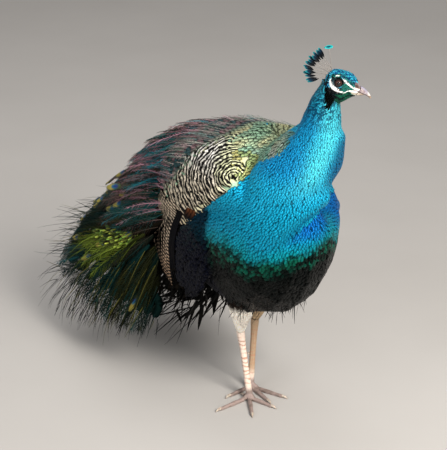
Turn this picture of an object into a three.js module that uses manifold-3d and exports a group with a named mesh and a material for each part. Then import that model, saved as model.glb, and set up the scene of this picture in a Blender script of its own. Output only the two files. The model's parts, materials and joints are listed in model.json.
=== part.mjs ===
// A life-size peacock (Pavo cristatus) standing with its head turned to its left.
// Millimetres, +Z up. The bird's body faces -Y and its left side is +X. Parts are laid out from
// the point on the floor midway between the feet, and the finished group is then moved so that
// its origin lies on the floor under the middle of its outline. Every part is one closed solid
// that ends where its feathers, scales or horn end, and neighbouring parts keep a thin gap.

import * as THREE from "three";
import { mergeVertices } from "three/addons/utils/BufferGeometryUtils.js";
import Module from "manifold-3d";

const wasm = await Module();
wasm.setup();

// Driving dimensions
const GAP = 0.3; // clearance between neighbouring parts
const SMOOTHING = 0.05; // a cut face keeps no detail finer than this
const HEAD_TURN = 57; // degrees that the head is turned to the bird's left
const EYE_CENTRE = { forward: 274, left: 15, up: 797 }; // midway between the two eyes
const EYE_RADIUS = 9.2;
const EYE_SIDE = 16.6; // from the midline of the head to the centre of an eyeball
const CREST_PLUMES = 11;
const CREST_SHAFT = 1.3;
const CREST_FIRST = 196; // degrees, lowest plume, measured from the bill upwards and back
const CREST_LAST = 95; // degrees, foremost plume
const CREST_LOW_REACH = 35; // length of the lowest plume
const CREST_HIGH_REACH = 53; // length of the foremost plume
const TRAIN_FRONT = -150; // where the train starts to stand off the back
const TRAIN_END = -695; // tip of the longest train feather
const TRAIN_THICKNESS = 9;
const TARSUS_SIDES = 8;
const FOOT_RADIUS = 10.5;
const FOOT_SQUASH = 0.86; // height of the pad under the toes against its width
const FOOT_CENTRE = 0.72; // height of its centre in radii, so that its underside is flat
const TOE_RADIUS = 6.2;
const CLAW_LENGTH = 14;
const SPUR_LENGTH = 17;

const COLOURS = {
  blue: 0x0f6fa8,
  crown: 0x1273a3,
  back: 0x7c8a3c,
  barred: 0xb5a98a,
  black: 0x14161c,
  chestnut: 0x7a4a2a,
  train: 0x3d4a26,
  tail: 0x57493a,
  buff: 0xd9c6a8,
  leg: 0xb79c88,
  claw: 0x6a5a4c,
  bill: 0xb3aab4,
  eye: 0x2a1512,
};

const model = new THREE.Group();

const radians = (degrees) => (degrees * Math.PI) / 180;

// Bird coordinates: forward, to its left and up
const place = (forward, left, up) => new THREE.Vector3(left, -forward, up);

// ---------------------------------------------------------------- lofted bodies

// One station of a loft: its centre, the half width across, how far the outline rises on the
// back side of the centre and drops on the belly side, and where the left side points.
function station(forward, left, up, half, rise, drop, turn = 0) {
  return { centre: place(forward, left, up), size: new THREE.Vector3(half, rise, drop), turn };
}

// A smooth body through stations, sampled at any place between the first and the last.
class Loft {
  constructor(stations) {
    this.last = stations.length - 1;
    this.centre = new THREE.CatmullRomCurve3(stations.map((s) => s.centre), false, "catmullrom");
    this.size = new THREE.CatmullRomCurve3(stations.map((s) => s.size), false, "catmullrom");
    this.turns = stations.map((s) => s.turn);
  }

  turnAt(along) {
    const index = Math.min(Math.floor(along), this.last - 1);
    return THREE.MathUtils.lerp(this.turns[index], this.turns[index + 1], along - index);
  }

  // The way ahead, averaged over half a station each way so that the rings fan out evenly
  ahead(along) {
    const before = this.centre.getPoint(Math.max(0, along - 0.5) / this.last);
    const after = this.centre.getPoint(Math.min(this.last, along + 0.5) / this.last);
    return after.sub(before).normalize();
  }

  ring(along, sides, grow) {
    const centre = this.centre.getPoint(along / this.last);
    const size = this.size.getPoint(along / this.last);
    const ahead = this.ahead(along);
    const turn = radians(this.turnAt(along));
    const across = new THREE.Vector3(Math.cos(turn), Math.sin(turn), 0);
    across.addScaledVector(ahead, -across.dot(ahead)).normalize();
    const back = ahead.clone().cross(across);
    const points = [];
    for (let i = 0; i < sides; i += 1) {
      const angle = (2 * Math.PI * (i + 0.5)) / sides;
      const wide = Math.cos(angle) * (size.x + grow);
      const tall = Math.sin(angle) * ((Math.sin(angle) > 0 ? size.y : size.z) + grow);
      points.push(centre.clone().addScaledVector(across, wide).addScaledVector(back, tall));
    }
    return points;
  }

  // The stretch between two places as a closed solid. A cut end stands back by half the gap,
  // and a grown solid reaches past both ends by as much as it is grown.
  slice(from, to, rings, sides, grow = 0) {
    const loops = [];
    for (let i = 0; i <= rings; i += 1) {
      loops.push(this.ring(THREE.MathUtils.lerp(from, to, i / rings), sides, grow));
    }
    const shifted = (loop, along, distance) => {
      const way = this.ahead(along);
      return loop.map((p) => p.clone().addScaledVector(way, distance));
    };
    if (grow > 0) {
      loops.unshift(shifted(loops[0], from, -grow));
      loops.push(shifted(loops.at(-1), to, grow));
    } else {
      loops[0] = shifted(loops[0], from, from > 0 ? GAP / 2 : 0);
      loops.push(shifted(loops.pop(), to, to < this.last ? -GAP / 2 : 0));
    }
    return skinned(loops);
  }

  whole(rings, sides, grow = 0) {
    return this.slice(0, this.last, rings, sides, grow);
  }
}

// Closed body through loops of equal point count, each loop turning left about the way ahead
function skinned(loops) {
  const sides = loops[0].length;
  const positions = loops.flat().flatMap((p) => [p.x, p.y, p.z]);
  const index = [];
  for (let i = 0; i + 1 < loops.length; i += 1) {
    for (let j = 0; j < sides; j += 1) {
      const k = (j + 1) % sides;
      const [a, b, c, d] = [i * sides + j, i * sides + k, (i + 1) * sides + k, (i + 1) * sides + j];
      index.push(a, b, c, a, c, d);
    }
  }
  const endCap = flatCap(loops.at(-1), (loops.length - 1) * sides);
  const startCap = flatCap(loops[0], 0).map(([a, b, c]) => [a, c, b]);
  index.push(...startCap.flat(), ...endCap.flat());
  const geometry = new THREE.BufferGeometry();
  geometry.setAttribute("position", new THREE.Float32BufferAttribute(positions, 3));
  geometry.setIndex(index);
  return geometry;
}

// Triangles that close one loop, facing the way round which it turns left
function flatCap(loop, offset) {
  const normal = new THREE.Vector3();
  loop.forEach((p, i) => {
    const q = loop[(i + 1) % loop.length];
    normal.add(p.clone().cross(q));
  });
  normal.normalize();
  const u = loop[1].clone().sub(loop[0]);
  u.addScaledVector(normal, -u.dot(normal)).normalize();
  const v = normal.clone().cross(u);
  const flat = loop.map((p) => new THREE.Vector2(p.dot(u), p.dot(v)));
  return THREE.ShapeUtils.triangulateShape(flat, []).map((t) => t.map((i) => i + offset));
}

// ---------------------------------------------------------------- solids

function solid(geometry) {
  const bare = geometry.clone();
  bare.deleteAttribute("normal");
  bare.deleteAttribute("uv");
  const merged = mergeVertices(bare, 1e-4);
  return new wasm.Manifold(new wasm.Mesh({
    numProp: 3,
    vertProperties: new Float32Array(merged.attributes.position.array),
    triVerts: new Uint32Array(merged.index.array),
  }));
}

// The largest body of a boolean result, as a geometry
function shape(manifold) {
  const bodies = manifold.simplify(SMOOTHING).decompose();
  bodies.sort((a, b) => b.volume() - a.volume());
  const mesh = bodies[0].getMesh();
  const geometry = new THREE.BufferGeometry();
  geometry.setAttribute("position", new THREE.Float32BufferAttribute(mesh.vertProperties, 3));
  geometry.setIndex(Array.from(mesh.triVerts));
  return geometry;
}

const without = (body, ...others) => others.reduce((left, other) => left.subtract(other), body);

function add(name, geometry, colour, roughness = 0.7) {
  const material = new THREE.MeshStandardMaterial({ color: colour, roughness, metalness: 0 });
  const mesh = new THREE.Mesh(geometry, material);
  mesh.name = name;
  model.add(mesh);
}

const floor_slab = new THREE.BoxGeometry(2000, 2000, 60);
floor_slab.translate(0, 0, -30);
const below_floor = solid(floor_slab);

// ---------------------------------------------------------------- trunk and neck

// From the vent over the belly and the breast up to the nape
const body = new Loft([
  station(-290, 0, 385, 24, 22, 22),
  station(-240, 0, 405, 62, 70, 66),
  station(-150, 0, 420, 112, 145, 142),
  station(-45, 0, 406, 130, 164, 180),
  station(50, 0, 432, 138, 116, 197),
  station(112, 0, 480, 124, 88, 143),
  station(164, 0, 569, 92, 90, 86),
  station(206, 0, 638, 63, 62, 61),
  station(245, 0, 706, 41, 41, 38),
  station(257, 0, 755, 30, 30, 28, 20),
  station(264, 6, 788, 23, 24, 24, 45),
]);
const BODY_SIDES = 18;
const body_lengths = [
  { name: "rump", from: 0, to: 2, rings: 5, colour: COLOURS.back },
  { name: "trunk", from: 2, to: 4, rings: 5, colour: COLOURS.black },
  { name: "breast", from: 4, to: 6, rings: 6, colour: COLOURS.blue },
  { name: "neck_lower", from: 6, to: 7.5, rings: 5, colour: COLOURS.blue },
  { name: "neck_upper", from: 7.5, to: 10, rings: 6, colour: COLOURS.blue },
];
const together = (pieces) => pieces.reduce((whole, piece) => whole.add(piece));
const grown_body = together(body_lengths.map(({ from, to, rings }) => (
  solid(body.slice(from, to, rings, BODY_SIDES, GAP))
)));

// The scaly mantle lies over the shoulders and fills the dip between the neck and the back
const mantle = new Loft([
  station(108, 0, 592, 34, 10, 40),
  station(66, 0, 580, 84, 32, 70),
  station(-20, 0, 568, 104, 44, 60),
  station(-110, 0, 560, 108, 38, 50),
  station(-165, 0, 548, 96, 26, 40),
]);
const MANTLE_SIDES = 10;
const grown_mantle = solid(mantle.whole(4, MANTLE_SIDES, GAP));

// ---------------------------------------------------------------- head

const heading = radians(HEAD_TURN);

// Head coordinates: towards the bill, to the left of the head and up, from between the eyes
function head_station(towards, up, half, rise, drop) {
  return station(
    EYE_CENTRE.forward + towards * Math.cos(heading),
    EYE_CENTRE.left + towards * Math.sin(heading),
    EYE_CENTRE.up + up,
    half, rise, drop, HEAD_TURN,
  );
}

const head = new Loft([
  head_station(-28, -6, 7, 5, 14),
  head_station(-23, -6, 16, 17, 28),
  head_station(-10, -6.5, 22.5, 28.5, 39),
  head_station(5, -8, 23.5, 29, 41),
  head_station(22, -12, 18, 25.5, 32.5),
  head_station(34, -17, 12, 14.5, 22),
  head_station(41, -21.5, 8.5, 8.5, 14),
]);
const upper_bill = new Loft([
  head_station(30, -15, 8.5, 8, 8),
  head_station(44, -20, 7.6, 8.2, 6.4),
  head_station(54, -25.5, 5.4, 5.4, 4.8),
  head_station(60.5, -31, 3.2, 3.6, 3.4),
  head_station(64.5, -37, 1.2, 1.4, 1.6),
]);
const lower_bill = new Loft([
  head_station(28, -25, 7, 5, 5),
  head_station(42, -27, 6, 4.4, 4.4),
  head_station(50, -27.5, 4, 3, 3),
  head_station(54, -28.5, 1.8, 1.2, 1.4),
]);

function eyeball(side, grow) {
  const geometry = new THREE.SphereGeometry(EYE_RADIUS + grow, 10, 7);
  const out = side * EYE_SIDE;
  const centre = place(
    EYE_CENTRE.forward - out * Math.sin(heading),
    EYE_CENTRE.left + out * Math.cos(heading),
    EYE_CENTRE.up,
  );
  geometry.translate(centre.x, centre.y, centre.z);
  return geometry;
}

const HEAD_RINGS = 12;
const HEAD_SIDES = 12;
const head_solid = solid(head.whole(HEAD_RINGS, HEAD_SIDES));
const grown_head = solid(head.whole(HEAD_RINGS, HEAD_SIDES, GAP));
const eyes = [1, -1].map((side) => solid(eyeball(side, GAP)));
const bill_solid = solid(upper_bill.whole(6, 8));
const grown_bill = solid(upper_bill.whole(6, 8, GAP));

add("head", shape(without(head_solid, ...eyes)), COLOURS.crown);
add("eye_left", eyeball(1, 0), COLOURS.eye, 0.1);
add("eye_right", eyeball(-1, 0), COLOURS.eye, 0.1);
add("bill_upper", shape(without(bill_solid, grown_head)), COLOURS.bill, 0.4);
const lower_bill_solid = without(solid(lower_bill.whole(4, 8)), grown_head, grown_bill);
add("bill_lower", shape(lower_bill_solid), COLOURS.bill, 0.4);

for (const { name, from, to, rings, colour } of body_lengths) {
  const length = body.slice(from, to, rings, BODY_SIDES);
  const reaches_head = to > 8;
  add(name, reaches_head ? shape(without(solid(length), grown_head, grown_bill)) : length, colour);
}

add("mantle", shape(without(solid(mantle.whole(4, MANTLE_SIDES)), grown_body)), COLOURS.back);

// ---------------------------------------------------------------- crest

// A fan of bare shafts from the back of the crown, each with a small vane at its tip. The
// shafts spring from a low pad that follows the back of the crown.
const CREST_ROOT = { towards: -19, up: 14 };
const CREST_PAD_HALF = 12;
const CREST_PAD_SLOPE = radians(42);
const CREST_VANE = 14; // length of the vane at the tip of a plume
const CREST_VANE_HALF = 4.6;
const CREST_VANE_SHOULDER = 4; // the vane is widest this far before its tip
const CREST_VANE_TIP = 1.5; // the blunt tip reaches this far past the shaft
const CREST_ROOT_SPREAD = 0.75; // share of the pad along which the plumes stand

function crest_plume(share) {
  const angle = radians(THREE.MathUtils.lerp(CREST_FIRST, CREST_LAST, share));
  const reach = THREE.MathUtils.lerp(CREST_LOW_REACH, CREST_HIGH_REACH, share);
  const root = (2 * share - 1) * CREST_ROOT_SPREAD * CREST_PAD_HALF;
  const shoulder = reach - CREST_VANE_SHOULDER;
  const tip = reach + CREST_VANE_TIP;
  const tip_half = CREST_VANE_HALF * 0.6;
  const plume = new THREE.Shape();
  plume.moveTo(0, -CREST_SHAFT / 2);
  plume.lineTo(reach - CREST_VANE, -CREST_SHAFT / 2);
  plume.lineTo(shoulder, -CREST_VANE_HALF);
  plume.lineTo(tip, -tip_half);
  plume.lineTo(tip, tip_half);
  plume.lineTo(shoulder, CREST_VANE_HALF);
  plume.lineTo(reach - CREST_VANE, CREST_SHAFT / 2);
  plume.lineTo(0, CREST_SHAFT / 2);
  const blade = new THREE.ExtrudeGeometry(plume, { depth: CREST_SHAFT, bevelEnabled: false });
  blade.translate(0, 0, -CREST_SHAFT / 2);
  blade.rotateX(Math.PI / 2);
  blade.rotateY(-angle);
  blade.translate(root * Math.cos(CREST_PAD_SLOPE), 0, root * Math.sin(CREST_PAD_SLOPE));
  return blade;
}

// The crest is built around its root with the bill along +X, then turned to the head
const pad = new THREE.SphereGeometry(1, 6, 5);
pad.scale(CREST_PAD_HALF, 3.5, 4.5);
pad.rotateY(-CREST_PAD_SLOPE);
const crest_pieces = [pad];
for (let i = 0; i < CREST_PLUMES; i += 1) {
  crest_pieces.push(crest_plume(i / (CREST_PLUMES - 1)));
}
const crest_matrix = new THREE.Matrix4().makeRotationZ(heading - Math.PI / 2);
crest_matrix.setPosition(place(
  EYE_CENTRE.forward + CREST_ROOT.towards * Math.cos(heading),
  EYE_CENTRE.left + CREST_ROOT.towards * Math.sin(heading),
  EYE_CENTRE.up + CREST_ROOT.up,
));
const crest = together(crest_pieces.map((piece) => solid(piece.applyMatrix4(crest_matrix))));
add("crest", shape(without(crest, grown_head)), COLOURS.black);

// ---------------------------------------------------------------- wings

// Each blade is listed for the left wing; the half width is its thickness across the flank
function wing_blade(side, rows, grow = 0) {
  const stations = rows.map(([forward, out, ...rest]) => station(forward, side * out, ...rest));
  return solid(new Loft(stations).whole(5, 10, grow));
}

const COVERTS = [
  [124, 106, 505, 6, 16, 16],
  [60, 122, 528, 20, 54, 66],
  [-40, 124, 514, 27, 76, 80],
  [-115, 120, 474, 25, 76, 76],
  [-180, 104, 428, 8, 34, 34],
];
const SECONDARIES = [
  [40, 118, 478, 8, 34, 24],
  [-30, 132, 420, 18, 86, 44],
  [-86, 134, 345, 16, 78, 36],
  [-124, 128, 272, 12, 40, 26],
  [-142, 122, 236, 4, 8, 8],
];
const PRIMARIES = [
  [66, 118, 440, 6, 16, 16],
  [10, 128, 372, 13, 40, 24],
  [-50, 122, 290, 11, 40, 22],
  [-90, 112, 236, 4, 10, 8],
];
const wings = [];
for (const [side, word] of [[1, "left"], [-1, "right"]]) {
  const coverts = wing_blade(side, COVERTS);
  const grown_coverts = wing_blade(side, COVERTS, GAP);
  const grown_secondaries = wing_blade(side, SECONDARIES, GAP);
  const secondaries = without(wing_blade(side, SECONDARIES), grown_body, grown_coverts);
  const covering = [grown_body, grown_coverts, grown_secondaries];
  const primaries = without(wing_blade(side, PRIMARIES), ...covering);
  add(`wing_${word}_coverts`, shape(without(coverts, grown_body, grown_mantle)), COLOURS.barred);
  add(`wing_${word}_secondaries`, shape(secondaries), COLOURS.black);
  add(`wing_${word}_primaries`, shape(primaries), COLOURS.chestnut);
  wings.push(grown_coverts, grown_secondaries, wing_blade(side, PRIMARIES, GAP));
}

// ---------------------------------------------------------------- train and tail

// The train hangs over the tail as an arch: its ridge, its hem and its half width, from its
// front to its end
const train_profile = new THREE.CatmullRomCurve3([
  new THREE.Vector3(590, 150, 148),
  new THREE.Vector3(552, 95, 162),
  new THREE.Vector3(445, 44, 166),
  new THREE.Vector3(340, -2, 154),
  new THREE.Vector3(215, -2, 118),
  new THREE.Vector3(48, 8, 36),
], false, "catmullrom");
const TRAIN_DRIFT = -70; // the end of the train lies this far to the bird's right
const TRAIN_DRIFT_CURVE = 1.3; // above 1 the train swings aside mostly near its end
const TRAIN_THINNING = 0.4; // share of its thickness that the train loses by its end
const ARCH_STEPS = 10;
const ARCH_FULLNESS = { across: 0.75, up: 0.85 }; // below 1 squares the shoulders of the arch

function train_ring(along) {
  const profile = train_profile.getPoint(along);
  const forward = THREE.MathUtils.lerp(TRAIN_FRONT, TRAIN_END, along);
  const drift = TRAIN_DRIFT * along ** TRAIN_DRIFT_CURVE;
  const ring = [];
  const arc = (half, top, i) => {
    const angle = (Math.PI * i) / ARCH_STEPS;
    const reach = Math.abs(Math.cos(angle)) ** ARCH_FULLNESS.across;
    const lift = Math.sin(angle) ** ARCH_FULLNESS.up;
    const left = drift - Math.sign(Math.cos(angle)) * half * reach;
    return place(forward, left, profile.y + (top - profile.y) * lift);
  };
  const thickness = TRAIN_THICKNESS * (1 - TRAIN_THINNING * along);
  for (let i = 0; i <= ARCH_STEPS; i += 1) {
    ring.push(arc(profile.z, profile.x, i));
  }
  for (let i = ARCH_STEPS; i >= 0; i -= 1) {
    ring.push(arc(profile.z - thickness, profile.x - thickness, i));
  }
  return ring;
}

const tail = new Loft([
  station(-262, 0, 440, 40, 7, 7),
  station(-380, -10, 370, 78, 6, 6),
  station(-500, -28, 262, 100, 5, 5),
  station(-600, -50, 140, 84, 3.5, 3.5),
]);
const undertail = new Loft([
  station(-120, 0, 290, 40, 30, 40),
  station(-190, 0, 290, 74, 40, 120),
  station(-265, -3, 285, 80, 56, 135),
  station(-335, -6, 245, 66, 50, 105),
  station(-400, -10, 195, 30, 24, 34),
]);
const grown_tail = solid(tail.whole(5, 10, GAP));
add("tail", shape(without(solid(tail.whole(5, 10)), grown_body)), COLOURS.tail);
add("undertail", shape(without(solid(undertail.whole(4, 8)), grown_body, grown_tail)), COLOURS.tail);

const TRAIN_LENGTHS = ["train_front", "train_middle", "train_rear", "train_tip"];
const TRAIN_RINGS = 4; // in each length
const stand_back = GAP / 2 / (TRAIN_FRONT - TRAIN_END);
const around_train = [grown_body, grown_mantle, grown_tail, below_floor, ...wings];
TRAIN_LENGTHS.forEach((name, i) => {
  const is_last = i + 1 === TRAIN_LENGTHS.length;
  const from = i / TRAIN_LENGTHS.length + (i > 0 ? stand_back : 0);
  const to = (i + 1) / TRAIN_LENGTHS.length - (is_last ? 0 : stand_back);
  const loops = [];
  for (let j = 0; j <= TRAIN_RINGS; j += 1) {
    loops.push(train_ring(THREE.MathUtils.lerp(from, to, j / TRAIN_RINGS)));
  }
  add(name, shape(without(solid(skinned(loops)), ...around_train)), COLOURS.train);
});

// ---------------------------------------------------------------- legs and feet

// Each leg from the knee, hidden in the belly, to the foot. The toes point this many degrees
// to the left of straight ahead.
const LEGS = [
  {
    word: "right",
    knee: [52, -56, 292],
    hock: [-14, -18, 157],
    foot: [12, -12, 16],
    toes: { inner: 17, middle: -29, outer: -82, hind: 188 },
    colour: COLOURS.buff,
  },
  {
    word: "left",
    knee: [-4, 56, 290],
    hock: [-44, 40, 160],
    foot: [-30, 20, 16],
    toes: { inner: -80, middle: -4, outer: 23, hind: 172 },
    colour: COLOURS.tail,
  },
];
const TOE_REACH = { inner: 77, middle: 90, outer: 97, hind: 30 };
const TOE_START = { out: 2, up: 13 }; // where a toe leaves the foot
const TOE_JOINTS = [0.3, 0.55, 0.8, 1]; // shares of the toe's length
const TOE_TAPER = 0.3;
const TOE_WAIST = { before: 0.1, width: 0.88 }; // the narrowing ahead of each joint
const TOE_SINK = 0.82; // height of a toe's centre in radii, so that its pads lie flat

const mix = (a, b, share) => a.map((value, i) => THREE.MathUtils.lerp(value, b[i], share));
const round = (point, radius) => station(...point, radius, radius, radius);

function toe_point(leg, toe, distance, up) {
  const way = radians(leg.toes[toe]);
  return [
    leg.foot[0] + distance * Math.cos(way),
    leg.foot[1] + distance * Math.sin(way),
    up,
  ];
}

// A toe swells at each of its joints and rests on its pads
function toe_loft(leg, toe) {
  const length = TOE_REACH[toe] - CLAW_LENGTH;
  const rows = [round(toe_point(leg, toe, TOE_START.out, TOE_START.up), TOE_RADIUS)];
  for (const share of TOE_JOINTS) {
    const radius = TOE_RADIUS * (1 - TOE_TAPER * share);
    const before = length * (share - TOE_WAIST.before);
    rows.push(round(toe_point(leg, toe, before, radius * TOE_SINK), radius * TOE_WAIST.width));
    rows.push(round(toe_point(leg, toe, length * share, radius * TOE_SINK), radius));
  }
  return new Loft(rows);
}

function claw_loft(leg, toe) {
  const start = TOE_REACH[toe] - CLAW_LENGTH;
  const radius = TOE_RADIUS * 0.62;
  return new Loft([
    round(toe_point(leg, toe, start - 2, radius * 1.3), radius),
    round(toe_point(leg, toe, start + CLAW_LENGTH * 0.5, radius * 1.2), radius * 0.78),
    round(toe_point(leg, toe, TOE_REACH[toe], 1.1), 0.9),
  ]);
}

// The pad under the joint of the toes, flattened where it rests on the floor
function foot_ball(leg, grow) {
  const ball = new THREE.SphereGeometry(FOOT_RADIUS + grow, 8, 6);
  ball.rotateX(Math.PI / 2);
  ball.scale(1, 1, FOOT_SQUASH);
  const centre = place(leg.foot[0], leg.foot[1], FOOT_RADIUS * FOOT_CENTRE);
  ball.translate(centre.x, centre.y, centre.z);
  return solid(ball);
}

for (const leg of LEGS) {
  const drum = new Loft([
    round(leg.hock, 8),
    round(mix(leg.hock, leg.knee, 0.08), 12),
    round(mix(leg.hock, leg.knee, 0.3), 20),
    round(mix(leg.hock, leg.knee, 0.62), 32),
    round(mix(leg.hock, leg.knee, 1), 38),
  ]);
  const shank = new Loft([
    round(leg.hock, 9.6),
    round(mix(leg.hock, leg.foot, 0.1), 8.8),
    round(mix(leg.hock, leg.foot, 0.25), 7.2),
    round(mix(leg.hock, leg.foot, 0.6), 6.5),
    round(mix(leg.hock, leg.foot, 0.88), 7.4),
    round(mix(leg.hock, leg.foot, 1), 8.4),
  ]);
  const grown_drum = solid(drum.whole(5, 10, GAP));
  add(`thigh_${leg.word}`, shape(without(solid(drum.whole(5, 10)), grown_body)), leg.colour);

  const around_foot = foot_ball(leg, GAP);
  const grown_shank = solid(shank.whole(7, TARSUS_SIDES, GAP));

  const tarsus = without(solid(shank.whole(7, TARSUS_SIDES)), grown_drum, around_foot);
  add(`foot_${leg.word}`, shape(without(foot_ball(leg, 0), below_floor)), COLOURS.leg);
  add(`tarsus_${leg.word}`, shape(tarsus), COLOURS.leg);

  const earlier = [around_foot, grown_shank, below_floor];
  for (const toe of Object.keys(TOE_REACH)) {
    const toe_body = toe_loft(leg, toe);
    const grown_toe = solid(toe_body.whole(6, 6, GAP));
    const claw_body = solid(claw_loft(leg, toe).whole(2, 5));
    const claw = without(claw_body, grown_toe, below_floor);
    add(`toe_${leg.word}_${toe}`, shape(without(solid(toe_body.whole(6, 6)), ...earlier)), COLOURS.leg);
    add(`claw_${leg.word}_${toe}`, shape(claw), COLOURS.claw, 0.4);
    earlier.push(grown_toe);
  }

  // The spur stands back and inwards from the lower third of the shank
  const root = mix(leg.hock, leg.foot, 0.58);
  const inward = leg.word === "left" ? -1 : 1;
  const tip = [root[0] - SPUR_LENGTH * 0.8, root[1] + inward * SPUR_LENGTH * 0.6, root[2] + 5];
  const spur = new Loft([
    round(root, 4),
    round(mix(root, tip, 0.5), 3.4),
    round(tip, 0.9),
  ]);
  add(`spur_${leg.word}`, shape(without(solid(spur.whole(2, 6)), grown_shank)), COLOURS.claw, 0.4);
}

// The origin goes to the floor under the middle of the outline
const outline = new THREE.Box3().setFromObject(model);
const middle = outline.getCenter(new THREE.Vector3());
model.position.set(-middle.x, -middle.y, 0);

export default model;
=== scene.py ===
"""A life-size peacock: one skin, its feathers, bill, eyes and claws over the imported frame."""
import json
import math

import bmesh
import bpy
import numpy as np
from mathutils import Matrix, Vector
from mathutils.bvhtree import BVHTree
from mathutils.kdtree import KDTree


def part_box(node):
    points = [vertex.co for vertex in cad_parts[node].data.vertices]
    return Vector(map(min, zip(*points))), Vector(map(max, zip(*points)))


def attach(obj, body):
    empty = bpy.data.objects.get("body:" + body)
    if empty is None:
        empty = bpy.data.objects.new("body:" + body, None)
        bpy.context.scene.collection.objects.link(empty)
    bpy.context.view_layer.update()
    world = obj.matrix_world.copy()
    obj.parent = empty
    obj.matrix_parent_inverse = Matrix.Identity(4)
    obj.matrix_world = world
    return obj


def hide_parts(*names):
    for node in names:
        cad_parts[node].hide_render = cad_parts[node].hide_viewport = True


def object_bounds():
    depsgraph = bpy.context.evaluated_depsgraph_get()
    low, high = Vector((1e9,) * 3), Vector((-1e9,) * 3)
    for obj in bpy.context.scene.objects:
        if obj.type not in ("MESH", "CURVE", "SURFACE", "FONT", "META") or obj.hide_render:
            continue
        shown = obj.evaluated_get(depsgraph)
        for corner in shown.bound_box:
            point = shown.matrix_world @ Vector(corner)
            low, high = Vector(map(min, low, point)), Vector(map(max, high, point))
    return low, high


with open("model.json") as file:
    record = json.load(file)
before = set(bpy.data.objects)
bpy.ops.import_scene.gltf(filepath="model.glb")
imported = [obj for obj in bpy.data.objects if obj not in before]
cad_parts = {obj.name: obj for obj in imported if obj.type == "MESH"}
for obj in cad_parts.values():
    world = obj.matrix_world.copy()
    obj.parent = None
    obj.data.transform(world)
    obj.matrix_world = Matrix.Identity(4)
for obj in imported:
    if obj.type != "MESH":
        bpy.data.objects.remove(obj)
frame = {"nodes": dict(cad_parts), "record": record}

CAD_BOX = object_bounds()
MM = 0.001
CAMERA_AZIMUTH = -33.0  # degrees, from straight ahead of the bird
rng = np.random.default_rng(11)

# ------------------------------------------------------------------ places

# Bird coordinates are millimetres forward, to its left and up, from the floor between the feet
SOLE_RIGHT = next(m["pos_m"] for m in frame["record"]["mounts"] if m["name"] == "sole_right")
FLOOR_POINT = np.array([SOLE_RIGHT[0] + 0.012, SOLE_RIGHT[1] + 0.012, 0.0])


def place(forward, left, up):
    """A point in the frame, or an array of them, from bird coordinates."""
    return FLOOR_POINT + np.stack(np.broadcast_arrays(left, -forward, up), -1) * MM


def bird(points):
    """Forward, left and up in millimetres of points in the frame."""
    local = (points - FLOOR_POINT) / MM
    return -local[..., 1], local[..., 0], local[..., 2]


def box_centre(node):
    low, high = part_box(node)
    return (np.array(low) + np.array(high)) / 2


EYES = {"left": box_centre("eye_left"), "right": box_centre("eye_right")}
BETWEEN_EYES = (EYES["left"] + EYES["right"]) / 2
UP = np.array([0.0, 0.0, 1.0])
HEAD_LEFT = (EYES["left"] - EYES["right"]) / np.linalg.norm(EYES["left"] - EYES["right"])
HEAD_FRONT = np.cross(HEAD_LEFT, UP)


def head_place(towards, left, up):
    return BETWEEN_EYES + (HEAD_FRONT * towards + HEAD_LEFT * left + UP * up) * MM


def head_coords(points):
    """Millimetres towards the bill, to the head's left and up, from between the eyes."""
    local = (points - BETWEEN_EYES) / MM
    return local @ HEAD_FRONT, local @ HEAD_LEFT, local @ UP


# ------------------------------------------------------------------ numbers

def unit(vectors):
    return vectors / np.maximum(np.linalg.norm(vectors, axis=-1, keepdims=True), 1e-12)


def ramp(value, low, high):
    """0 below low, 1 above high and smooth between."""
    share = np.clip((value - low) / (high - low), 0, 1)
    return share * share * (3 - 2 * share)


def mix(a, b, share):
    share = np.asarray(share)[..., None]
    return np.asarray(a) * (1 - share) + np.asarray(b) * share


WAVE_COUNT = 9


def waves(points, size, seed):
    """Smooth noise from -1 to 1 with features about size metres across."""
    draw = np.random.default_rng(seed)
    directions = unit(draw.normal(size=(WAVE_COUNT, 3))) * draw.uniform(0.6, 1.5, (WAVE_COUNT, 1))
    phases = draw.uniform(0, 2 * math.pi, WAVE_COUNT)
    total = np.sin(points @ directions.T * (math.pi / size) + phases).sum(-1)
    return np.clip(total / math.sqrt(WAVE_COUNT) * 0.9, -1, 1)


# ------------------------------------------------------------------ meshes

def arrays(mesh):
    """Vertices, vertex normals and triangles of a mesh."""
    mesh.calc_loop_triangles()
    verts = np.empty((len(mesh.vertices), 3))
    normals = np.empty((len(mesh.vertices), 3))
    tris = np.empty((len(mesh.loop_triangles), 3), int)
    mesh.vertices.foreach_get("co", verts.ravel())
    mesh.vertex_normals.foreach_get("vector", normals.ravel())
    mesh.loop_triangles.foreach_get("vertices", tris.ravel())
    return verts, normals, tris


def edge_ends(mesh):
    """The first and the second vertex of each edge."""
    edges = np.empty((len(mesh.edges), 2), int)
    mesh.edges.foreach_get("vertices", edges.ravel())
    return edges.T


def set_verts(mesh, verts):
    """Moves the vertices of a mesh."""
    mesh.vertices.foreach_set("co", verts.astype(np.float32).ravel())
    mesh.update()


def make_mesh(name, verts, faces):
    """A mesh from one array of equal faces."""
    mesh = bpy.data.meshes.new(name)
    verts = np.ascontiguousarray(verts, np.float32)
    faces = np.ascontiguousarray(faces, np.int32)
    mesh.vertices.add(len(verts))
    mesh.vertices.foreach_set("co", verts.ravel())
    mesh.loops.add(faces.size)
    mesh.loops.foreach_set("vertex_index", faces.ravel())
    mesh.polygons.add(len(faces))
    mesh.polygons.foreach_set("loop_start", np.arange(len(faces), dtype=np.int32) * faces.shape[1])
    mesh.update(calc_edges=True)
    return mesh


def tint(mesh, colours):
    """The colour of each vertex, which every material here reads."""
    layer = mesh.attributes.new("Tint", "FLOAT_COLOR", "POINT")
    rgba = np.ones((len(colours), 4), np.float32)
    rgba[:, :3] = colours
    layer.data.foreach_set("color", rgba.ravel())


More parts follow.
